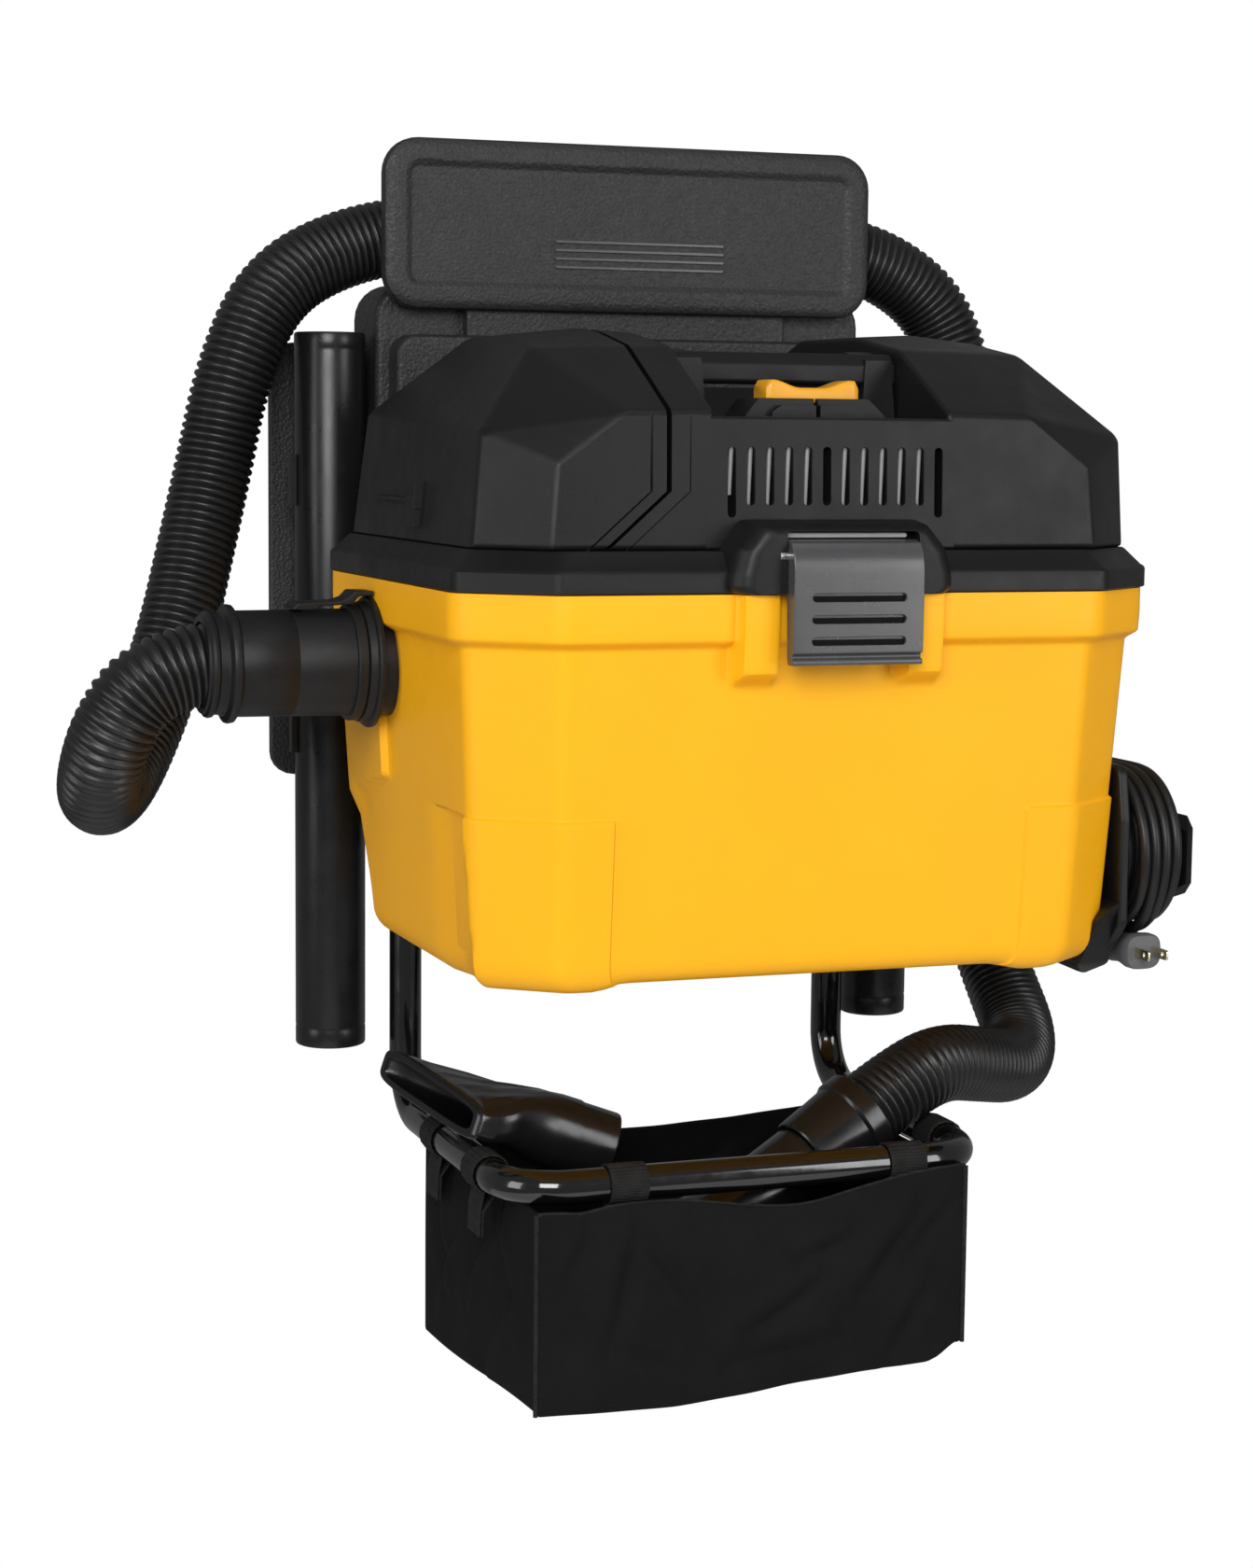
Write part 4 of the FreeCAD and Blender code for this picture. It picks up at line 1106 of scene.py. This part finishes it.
def make_hook_panel():
    """The shield over the hose: a soft rim round a flat sunk face."""
    profile = [(9, -72.6), (1.2, -72.6), (0, -73.8), (0, -79.5), (1.0, -82.0), (3.2, -83.6), (6.5, -84.4)]
    profile += [(13.5, -84.6), (15.5, -84.2), (18.2, -82.4), (20.0, -82.0)]
    rings = []
    for inset, depth in profile:
        outline = rectangle((-176 + inset, 172 + inset), (176 - inset, 285 - inset))
        rings.append([(x, depth, z) for x, z in round_corners(outline, max(24 - inset, 2), 8)])
    panel = loft("hook_shield", rings, "black_textured", turn=40)
    return finished(panel, 30)


PANEL_RIBS, PANEL_RIB_ENDS = (202.0, 207.7, 213.4, 219.1), (-56.5, 66)


def make_panel_ribs():
    """Four thin ribs across the middle of the shield, lighter than the shield: real ribs with a painted
    highlight in their colour.
    """
    ribs = []
    for number, level in enumerate(PANEL_RIBS, 1):
        corners = rectangle((PANEL_RIB_ENDS[0], level - 1.0), (PANEL_RIB_ENDS[1], level + 1.0))
        outline = round_corners(corners, 0.95, 4)
        # latch_grey makes the ribs lighter than the shield: painted highlight.
        rib = extruded(f"panel_rib_{number}", outline, "y", (-83.4, -81.6), "latch_grey")
        ribs.append(rounded(rib, 0.3, 2, 40))
    return ribs


def make_bracket():
    """The bracket's deep block, its raised inner face and the wings behind the wands."""
    sizes = (
        ("bracket_body", (-177, -150), (177, 190), 24, 6, (-64, -1)),
        ("face", (-168, -150), (168, 155), 14, 5, (-86, -60)),
        ("wings", (-237, -148), (237, 150), 16, 5, (-8, -0.2)),
        ("shelf", (-116, 150), (116, 184), 4, 3, (-74, -60)),
    )
    body, face, wings, shelf = (
        extruded(name, round_corners(rectangle(low, high), radius, steps), "y", span, "black_textured")
        for name, low, high, radius, steps, span in sizes
    )
    for part, soft in ((body, 5), (face, 4), (wings, 1.6), (shelf, 2)):
        rounded(part, soft, 3, 40)
    carved(body, [face, wings, shelf], "UNION")
    room = extruded("room", round_corners(rectangle((-164, -146), (164, 151)), 10, 3), "y", (-60, 5))
    bolts = []
    for x in (-203.2, 203.2):
        for z in (-100, 100):
            outline = round_corners(rectangle((x - 3.5, z - 3.5), (x + 3.5, z + 3.5)), 3.45, 5)
            bolts.append(extruded("bolt", outline, "y", (-12, 4)))
    carved(body, [room, *bolts])
    return finished(body, 30)


def make_wand(side, sign):
    """A moulded tube with a worn end, a thin mould line and a shallow collar under its top."""
    x, y = 205 * sign, -48
    profile = [(0, 22.2), (0.6, 23.4), (1.8, 24.0), (12, 24.0), (13.2, 23.7), (14.4, 24.0), (474, 24.0)]
    profile += [(475.5, 23.6), (477, 24.0), (485.5, 24.0), (486.6, 23.4), (487, 22.4), (486, 21.9)]
    profile.append((1, 21.9))
    tube = turned(f"wand_tube_{side}", profile, (x, y, -331), (0, 0, 1), "wand_black", steps=72, turn=30)
    ribs = []
    for low, high in ((-262, -190), (-118, -46), (36, 108)):
        spots = [
            (x + across, y - 23.6 - deep, level)
            for across in (-0.9, 0.9)
            for deep, ends in ((0, 0), (0.7, 1.5))
            for level in (low + ends, high - ends)
        ]
        ribs.append(finished(hull(f"wand_mark_{side}_{len(ribs)}", spots, "wand_black")))
    return tube, ribs


# ---------------------------------------------------------------- inlet, cuffs and tools

PORT = (-222.6, -223, -53)
LEFT = (-1, 0, 0)


def make_port():
    profile = [(0, 38), (0.6, 41), (3, 41.2), (4.2, 40.4), (5, 38.2), (9.2, 37.6), (9.6, 36.8)]
    profile += [(9.6, 30), (0, 30)]
    flange = turned("port_flange", profile, PORT, LEFT, "black_plastic", steps=72, turn=28)
    profile = [(-26, 34), (0.5, 34), (0.5, 30), (-26, 30)]
    sleeve = turned("port_sleeve", profile, PORT, LEFT, "black_plastic")
    return flange, sleeve


def make_cuff():
    """The swivel cuff: a lip at the port, a smooth barrel and a turned groove."""
    profile = [(9.9, 36.0), (10.6, 36.6), (15.6, 36.6), (16.4, 36.0), (16.8, 33.6), (18, 33.5), (52, 33.1)]
    profile += [(52.6, 32.8), (53.2, 33.1), (86.8, 32.9), (88.2, 32.2), (88.2, 24), (9.9, 24)]
    return turned("cuff_barrel", profile, PORT, LEFT, "black_plastic", steps=72, turn=28)


def make_collar():
    profile = [(88.6, 35.6), (89.2, 36.4), (92, 36.9), (93.6, 36.4), (94.4, 35.0), (95.4, 32.4), (97, 31.4)]
    profile += [(101, 31.2), (102.4, 32.8), (104.2, 33.2), (105.8, 32.6), (107.0, 30.8), (108.2, 30.2)]
    profile += [(108.3, 26.3), (98.6, 26.3), (98.6, 24), (88.6, 24)]
    return turned("collar_ring", profile, PORT, LEFT, "black_plastic", steps=72, turn=28)


def make_cuff_clip():
    """The sprung finger on top of the cuff and the catch that it hooks."""
    y, z = -223, -53
    shape = [(-276, 33.6), (-272, 37.5), (-262, 38.2), (-246, 38.6), (-240, 40.6), (-236, 44.8)]
    shape += [(-224, 44.8), (-224, 41.8), (-233, 41.6), (-238, 36.6), (-258, 35.6), (-260, 33.4)]
    side = [(x, z + rise) for x, rise in shape]
    clip = extruded("lock_finger", side, "y", (y - 13, y + 13), "black_plastic")
    rounded(clip, 0.8, 2, 30)
    window = block("window", (-268, y - 7, z), (-247, y + 7, z + 60))
    carved(clip, [window])
    return finished(clip)


def flared_tool(name, mouth, neck, across, lean, half_wide, half_thick, ribs_at):
    """A wide flat mouth, slanted by lean, that swells into a round neck, with long ribs on its back."""
    mouth, neck = Vector(mouth), Vector(neck)
    heading = (neck - mouth).normalized()
    upward = Vector(across).cross(heading).normalized()
    sideways = heading.cross(upward)
    long = (neck - mouth).length
    wide, thick = half_wide, half_thick
    stations = [(-1.0, wide - 3.4, thick - 1.8, 5), (0.0, wide - 0.4, thick - 0.2, 5)]
    stations += [(2.0, wide + 0.4, thick + 0.6, 5), (4.0, wide - 0.3, thick, 5)]
    stations += [(long * 0.1, wide - 1.5, thick + 1, 4.6), (long * 0.27, wide * 0.88, thick + 3.5, 4.0)]
    stations += [(long * 0.42, wide * 0.72, thick + 7.5, 3.2), (long * 0.56, wide * 0.56, 23.4, 2.6)]
    stations += [(long * 0.68, 26, 25, 2.2), (long * 0.78, 25.0, 25.0, 2.0), (long * 0.8, 24.2, 24.2, 2.0)]
    stations += [(long - 1.5, 24.0, 24.0, 2.0), (long, 23.4, 23.4, 2.0)]
    rings, inner = [], []
    for away, half, high, power in stations:
        centre = mouth + heading * away
        slanted = sideways + Vector(lean) * (1 - smooth_step(away, 0, long * 0.6))
        ring, bore = [], []
        for step in range(96):
            turn = math.tau * step / 96
            shape = (abs(math.cos(turn)) ** power + abs(math.sin(turn)) ** power) ** (-1 / power)
            a, b = math.cos(turn) * shape, math.sin(turn) * shape
            fade = smooth_step(away, long * 0.04, long * 0.14)
            fade *= 1 - smooth_step(away, long * 0.5, long * 0.62)
            rise = 1.4 * fade * max(between(a * half, spot, spot + 2.0, 2.2) for spot in ribs_at)
            top = b * high + (rise if b > 0.3 else 0)
            ring.append(tuple(centre + slanted * (a * half) + upward * top))
            bore.append(tuple(centre + slanted * (a * (half - 2.6)) + upward * (b * (high - 2.6))))
        rings.append(ring)
        inner.append(bore)
    return loft(name, rings + list(reversed(inner)), "gloss_black", endless=True, turn=34)


def make_hose_tools():
    """The cuff on the hose's far end and the flared tool pushed into it."""
    end = Vector(HOSE_ROUTE[-1]) * 1000
    heading = (end - Vector(HOSE_ROUTE[-2]) * 1000).normalized()
    profile = [(-7, 26.2), (-7, 29.8), (-5.6, 31), (6, 31), (7.4, 30.2), (8.4, 29), (40, 27.4)]
    profile += [(44.8, 27.2), (46, 26.4), (46, 24.4), (0.1, 22), (0.1, 26.2)]
    cuff = turned("end_cuff", profile, end, heading, "gloss_black", steps=64, turn=28)
    mouth, neck = end + heading * 196, end + heading * 46.4
    tool = flared_tool("hose_tool_body", mouth, neck, (0, 0, 1), (0, 0, 0), 40, 12, (-18, 0, 18))
    return cuff, tool


NOZZLE_LEAN = (0.48, 0.10, -0.34)


def make_nozzle():
    """The wide nozzle that lies across the bag's left rim."""
    mouth, neck, ribs_at = (-181, -214, -333), (-66, -236, -373), (-31, -12, 10, 29)
    return flared_tool("nozzle_body", mouth, neck, (0.45, -0.88, -0.1), NOZZLE_LEAN, 55, 12, ribs_at)


# ---------------------------------------------------------------- frame tube


def arc(centre, start, end, steps):
    """A quarter turn from start to end about a centre."""
    centre, start, end = Vector(centre), Vector(start), Vector(end)
    turns = [math.radians(90) * step / steps for step in range(steps + 1)]
    return [centre + (start - centre) * math.cos(turn) + (end - centre) * math.sin(turn) for turn in turns]


def make_frame():
    """One bent tube: down from the bracket, forward and across under the bag's rim."""
    x, back, front, level, bend, top = 158, -72, -320, -374, 38, -156
    half = [Vector((-x, back, top)), Vector((-x, back, -250))]
    half += arc((-x, back - bend, level + bend), (-x, back, level + bend), (-x, back - bend, level), 14)
    half += arc((-x + bend, front + bend, level), (-x, front + bend, level), (-x + bend, front, level), 14)
    other = [Vector((-spot.x, spot.y, spot.z)) for spot in reversed(half)]
    line = [spot * 0.001 for spot in half + other]
    return swept("frame_pipe", line, [0.011] * len(line), "black_enamel", steps=40)


# ---------------------------------------------------------------- tool bag

BAG_FRONT, BAG_BACK = (-148, 142, -341), (-160, 152, -125)
FRONT_STRAPS = (-85, 105)
SIDE_STRAPS = (-262, -166)
WEB = 25.0
STEPS_X, STEPS_Y, STEPS_Z = 84, 60, 44
FRONT_CREASES = [
    ((-88, -402), (-104, -470), 8, 4.6),
    ((-84, -404), (-40, -462), 7, 4.2),
    ((-118, -398), (-140, -440), 7, 3.0),
    ((40, -436), (-16, -470), 9, 5.0),
    ((62, -412), (22, -424), 7, 3.6),
    ((106, -400), (66, -448), 8, 5.0),
    ((132, -392), (96, -430), 7, 3.6),
    ((118, -440), (84, -492), 9, 3.8),
    ((-30, -486), (52, -474), 9, 3.4),
    ((-96, -480), (-52, -500), 8, 3.0),
]
SIDE_CREASES = [
    ((-150, -404), (-176, -470), 9, 5.2),
    ((-262, -404), (-222, -462), 9, 5.6),
    ((-262, -408), (-300, -450), 8, 4.0),
    ((-200, -430), (-150, -490), 9, 4.4),
    ((-310, -440), (-250, -500), 10, 4.4),
]


def crease(across, up, lines):
    """How far the cloth stands in along creases, each given by its ends, its width and its depth."""
    depth = 0
    spot = Vector((across, up))
    for start, end, wide, deep in lines:
        line, arm = Vector(end) - Vector(start), spot - Vector(start)
        share = min(max(arm.dot(line) / line.length_squared, 0), 1)
        offset = arm - line * share
        side = 1 if offset.x > 0 else -0.55
        away = offset.length / wide
        fade = math.sin(math.pi * (0.12 + 0.76 * share))
        depth += deep * side * away * math.exp(0.5 - away * away) * fade
    return depth


def bag_top(x, y):
    """The bag's top edge hangs from its straps and sags between them."""
    across = (x + 148) / 290
    if y < -330:
        sag = 15 * math.exp(-(((x - 24) / 62) ** 2)) + 3 * math.exp(-(((x + 118) / 16) ** 2))
        return -385 + 11 * across - sag
    if y > -134:
        return -384 + 6 * across - 5 * math.sin(math.pi * across)
    sides = 4 * math.sin(math.pi * (y + 125) / -216) ** 2
    return (-385 if x < 0 else -374) - sides


def bag_floor(x, y):
    """The bag's floor hangs lowest at the back left and is drawn up at the front right."""
    front = smooth_step(y, -300, -341)
    level = -513 + 12 * smooth_step(x, -60, 130) - 6 * smooth_step(y, -320, -150) * smooth_step(-x, 40, 150)
    level += 1.0 * math.sin(0.034 * x + 0.9) + 11 * smooth_step(x, 118, 140) * front
    return level


def make_bag():
    """A sewn cloth box that hangs by its straps, and the bound seams down its two front edges."""
    corners = [
        Vector((BAG_FRONT[0], BAG_FRONT[2])),
        Vector((BAG_FRONT[1], BAG_FRONT[2])),
        Vector((BAG_BACK[1], BAG_BACK[2])),
        Vector((BAG_BACK[0], BAG_BACK[2])),
    ]
    plan = []
    for side, steps in enumerate((STEPS_X, STEPS_Y, STEPS_X, STEPS_Y)):
        start, end = corners[side], corners[(side + 1) % 4]
        run = (end - start).normalized()
        out = Vector((run.y, -run.x))
        plan += [(start.lerp(end, step / steps), out, step / steps, side) for step in range(steps)]
    rings = []
    for level in range(STEPS_Z + 1):
        share = level / STEPS_Z
        ring = []
        for spot, out, along, side in plan:
            floor, top = bag_floor(*spot), bag_top(*spot)
            z = floor + (top - floor) * share
            middle = math.sin(math.pi * along)
            swell = 4.0 * middle * math.sin(math.pi * share * 0.85 + 0.3) - 6.0 * middle * share**3 - 2.5
            lines = FRONT_CREASES if side in (0, 2) else SIDE_CREASES
            swell -= crease(spot.x if side in (0, 2) else spot.y, z, lines) * min(1, 3 * middle)
            swell += 0.7 * math.sin(0.11 * spot.x + 0.07 * z) * middle
            ring.append((spot.x + out.x * swell, spot.y + out.y * swell, z))
        rings.append(ring)
    middle = Vector((-4, -233))
    floor_rings = []
    for inset in (0.08, 0.25, 0.5, 0.75, 0.93):
        ring = []
        for x, y, z in rings[0]:
            spot = middle.lerp(Vector((x, y)), inset)
            ring.append((spot.x, spot.y, z - 3 * (1 - inset) + 2 * math.sin(0.05 * spot.x) * (1 - inset)))
        floor_rings.append(ring)
    bag = loft("tool_bag", floor_rings + rings, "bag_fabric", caps=(True, False), turn=70)
    change = bag.modifiers.new("smooth", "SUBSURF")
    change.levels = change.render_levels = 1
    applied(bag)
    change = bag.modifiers.new("cloth", "SOLIDIFY")
    change.thickness, change.offset = 0.0014, 1
    applied(bag)
    seams = []
    for name, place, out in (("left", 0, (-0.7, -0.7)), ("right", STEPS_X, (0.7, -0.7))):
        line = [metres(ring[place][0] + out[0], ring[place][1] + out[1], ring[place][2]) for ring in rings]
        seams.append(swept(f"bag_seam_{name}", line, [0.0015] * len(line), "webbing", steps=12))
    hem = [metres(*spot) for spot in rings[-1][: STEPS_X + 1]]
    seams.append(swept("bag_hem", hem, [0.0014] * len(hem), "webbing", steps=12))
    return bag, seams


def make_strap(name, spot, across, outwards):
    """A webbing loop round the tube whose two ends are sewn inside the bag."""
    across, outwards = Vector(across), Vector(outwards)
    up = Vector((0, 0, 1))
    path = []
    for step in range(15):
        turn = math.radians(-70 + 320 * step / 14)
        path.append(outwards * math.cos(turn) * 12.4 + up * math.sin(turn) * 12.4)
    tail_out = [outwards * 6.6 - up * 22, outwards * 7.4 - up * 40]
    tail_in = [outwards * 4.9 - up * 24, outwards * 5.4 - up * 40]
    path = list(reversed(tail_out)) + path + tail_in
    rings = []
    for index, arm in enumerate(path):
        ahead = (path[min(index + 1, len(path) - 1)] - path[max(index - 1, 0)]).normalized()
        normal = across.cross(ahead).normalized()
        centre = Vector(spot) + arm
        ring = []
        for a, b in ((-1, -1), (1, -1), (1, 1), (-1, 1)):
            ring.append(tuple(centre + across * (a * WEB / 2) + normal * (b * 0.75)))
        rings.append(ring)
    strap = loft(name, rings, "webbing", turn=50)
    change = strap.modifiers.new("soft", "BEVEL")
    change.width, change.segments = 0.0004, 2
    change.limit_method, change.angle_limit = "ANGLE", math.radians(50)
    return applied(strap)


# ---------------------------------------------------------------- cord wrap


def make_wrap():
    """The cord wrap: a chamfered base on the tub's side, its core and the tab that keeps the turns on."""
    outline = [(-402, -146), (-396, -112), (-276, -112), (-268, -124), (-268, -226), (-280, -238)]
    outline += [(-378, -238), (-402, -212)]
    base = extruded("wrap_plate", round_corners(outline, 8, 4), "x", (211.8, 219), "head_black")
    spots = [(196, -404, -208), (212.5, -404, -196), (219, -396, -200), (219, -380, -240)]
    spots += [(200, -380, -246), (190, -392, -238), (192, -300, -240), (212, -300, -242)]
    spots.append((212.5, -300, -200))
    corner = hull("corner", spots, "head_black")
    rounded(base, 2.0, 3, 40)
    rounded(corner, 2.0, 2, 20)
    carved(base, [corner], "UNION")
    finished(base)
    y, z = WRAP_Y * 1000, WRAP_Z * 1000
    core_outline = round_corners(rectangle((y - 47, z - 24), (y + 47, z + 24)), 23.6, 12)
    core = extruded("wrap_core", core_outline, "x", (218, 258.2), "head_black")
    edges = ((258.3, -388, -193, -152), (258.3, -376, -202, -144), (258.3, -284, -200, -146))
    edges += ((264, -394, -189, -156), (273, -385, -190, -155), (274, -376, -198, -148))
    edges += ((274, -304, -198, -148), (267, -282, -196, -150), (262, -392, -190, -155))
    spots = [(x, along, level) for x, along, low, high in edges for level in (low, high)]
    tab = hull("wrap_tab_body", spots, "deep_black")
    rounded(tab, 2.2, 3, 14)
    finished(tab)
    return base, core, tab


PLUG_X, PLUG_Z = 237, -231.8


def make_plug():
    """A rounded grip with a waist and a ribbed boot where the cord goes in."""
    stations = [(-392.0, 9.5, 8.6), (-391.2, 11.6, 10.4), (-389, 12.8, 11.3), (-384, 13.0, 11.4)]
    stations += [(-378, 12.0, 10.4), (-370, 11.2, 9.6), (-362, 12.2, 10.6), (-355, 12.6, 11.0)]
    stations += [(-350, 10.2, 9.4), (-348, 7.0, 7.0), (-345, 6.6, 6.6)]
    for rib in range(5):
        for away, radius in ((0.6, 5.2), (1.4, 5.0), (2.2, 6.2 - rib * 0.3), (4.0, 6.1 - rib * 0.3)):
            stations.append((-345 + rib * 4.6 + away, radius, radius))
    turns = [math.tau * step / 40 for step in range(40)]
    rings = []
    for y, wide, high in stations:
        ring = []
        for turn in turns:
            square = (abs(math.cos(turn)) ** 3.2 + abs(math.sin(turn)) ** 3.2) ** (-1 / 3.2)
            shape = square if y < -347 else 1
            ring.append((PLUG_X + wide * math.cos(turn) * shape, y, PLUG_Z + high * math.sin(turn) * shape))
        rings.append(ring)
    return loft("plug_grip", rings, "grey_plastic", turn=38)


def make_blades():
    """The plug's two flat blades, each with a hole near its end."""
    blades = []
    for side, across in (("left", -6.4), ("right", 6.4)):
        outline = round_corners([(-409, -234.6), (-389, -235), (-389, -228), (-409, -228.4)], 1.4, 4)
        x = PLUG_X + across
        blade = extruded(f"plug_blade_{side}", outline, "x", (x - 0.8, x + 0.8), "brass")
        outline = round_corners(rectangle((-405.5, -233.1), (-402.3, -229.9)), 1.55, 4)
        hole = extruded("hole", outline, "x", (200, 280))
        carved(blade, [hole])
        rounded(blade, 0.25, 2, 50)
        blades.append(finished(blade))
    return blades


def make_relief():
    """The ribbed strain relief that the lead leaves the head through."""
    profile = [(0, 4.2), (0, 7.2), (0.8, 7.6), (6, 7.6), (6.8, 7.0)]
    for rib in range(7):
        base = 7.4 + rib * 3.6
        radius = 6.8 - rib * 0.27
        profile += [(base, radius - 1.0), (base + 0.9, radius - 1.0)]
        profile += [(base + 1.1, radius), (base + 3.0, radius)]
    profile += [(33, 4.6), (33, 3.6), (1, 3.6)]
    return turned("strain_relief_boot", profile, (204, -172, 60), (1, 0, 0), "black_rubber", steps=32)


# ---------------------------------------------------------------- under the lid


def make_filter():
    """The pleated filter between its two end rings."""
    folds, outer, inner = 72, 71.0, 62.0
    rings = []
    for level in (-146, -144, -60, -14, -12.5):
        ring = []
        for step in range(folds * 4):
            turn = math.tau * step / (folds * 4)
            radius = outer if step % 4 in (0, 1) else inner
            ring.append((radius * math.cos(turn), -268 + radius * math.sin(turn), level))
        rings.append(ring)
    pleats = loft("filter_pleats", rings, "filter_paper", caps=(False, False), turn=20)
    caps = []
    for name, low, hole in (("low", -150, 6), ("high", -14, 46.6)):
        profile = [(0, hole), (0, 71), (0.8, 72), (4.8, 72), (5.6, 71), (5.6, hole)]
        caps.append(turned(f"filter_ring_{name}", profile, (0, -268, low), (0, 0, 1), "black_rubber"))
    return pleats, caps


# ---------------------------------------------------------------- assembly

hose, hose_line = make_hose()
cord = make_cord()
plug = placed(make_plug(), "vacuum", "grey_plastic", "plug_body")
blades = [placed(blade, "vacuum", "brass") for blade in make_blades()]
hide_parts("plug_blades")
relief = placed(make_relief(), "head", "black_rubber", "strain_relief")
end_cuff, hose_tool = make_hose_tools()
placed(end_cuff, "vacuum", "black_plastic", "hose_end_cuff")
placed(hose_tool, "vacuum", "black_plastic", "hose_tool")

make_tub()
lid, lid_under = make_lid()
placed(lid, "head", "black_plastic", "lid")
placed(lid_under, "head", "black_plastic")
placed(make_hood(), "head", "black_plastic")
cover, door = make_head()
placed(cover, "head", "black_plastic", "motor_cover")
placed(door, "head", "black_plastic", "side_cover")
for rib in (*make_vent_backs(), make_vent_shade_sheet(), make_side_catch()):
    placed(rib, "head", "black_plastic")
placed(make_latch(), "front_latch", "black_plastic", "latch")
# The latch's groove strips are painted shade, and its top bar is a painted highlight.
groove_shade_strips, top_highlight_bar = make_latch_shade_and_highlight()
for strip in groove_shade_strips:
    placed(strip, "front_latch", "black_plastic")
placed(top_highlight_bar, "head", "black_plastic")
placed(make_switch_base(), "head", "black_plastic", "switch_bezel")
placed(make_rocker(), "switch", "switch_yellow", "switch_rocker")
placed(make_handle(), "head", "black_plastic", "carry_handle")

placed(make_hook_panel(), "wall_mount", "black_textured", "hook_panel")
for rib in make_panel_ribs():
    placed(rib, "wall_mount", "black_textured")
placed(make_bracket(), "wall_mount", "black_textured", "wall_bracket")
for side, sign in (("left", -1), ("right", 1)):
    tube, ribs = make_wand(side, sign)
    placed(tube, f"wand_on_{side}", "black_plastic", f"wand_{side}")
    for rib in ribs:
        placed(rib, f"wand_on_{side}", "black_plastic")

flange, sleeve = make_port()
placed(flange, "vacuum", "black_plastic", "inlet_port")
placed(sleeve, "vacuum", "black_plastic")
placed(make_cuff(), "vacuum", "black_plastic", "hose_cuff")
placed(make_collar(), "vacuum", "black_plastic", "hose_collar")
placed(make_cuff_clip(), "vacuum", "black_plastic", "cuff_clip")
placed(make_nozzle(), "floor_nozzle", "black_plastic", "utility_nozzle")

placed(make_frame(), "wall_mount", "black_enamel", "frame_tube")
bag, straps = make_bag()
placed(bag, "wall_mount", "bag_fabric", "bag")
for seam in straps:
    placed(seam, "wall_mount", "webbing")
for name, x in zip(("front_left", "front_right"), FRONT_STRAPS):
    strap = make_strap(f"web_{name}", (x, -320, -374), (1, 0, 0), (0, -1, 0))
    straps.append(placed(strap, "wall_mount", "webbing", f"strap_{name}"))
for side, sign in (("left", -1), ("right", 1)):
    for name, y in zip(("front", "back"), SIDE_STRAPS):
        strap = make_strap(f"web_{side}_{name}", (158 * sign, y, -374), (0, 1, 0), (sign, 0, 0))
        straps.append(placed(strap, "wall_mount", "webbing", f"strap_{side}_{name}"))

base, core, tab = make_wrap()
placed(base, "vacuum", "black_plastic", "wrap_base")
placed(core, "vacuum", "black_plastic")
placed(tab, "vacuum", "black_plastic", "wrap_tab")

pleats, filter_rings = make_filter()
placed(pleats, "head", "filter_paper", "filter")
for ring in filter_rings:
    placed(ring, "head", "black_rubber")
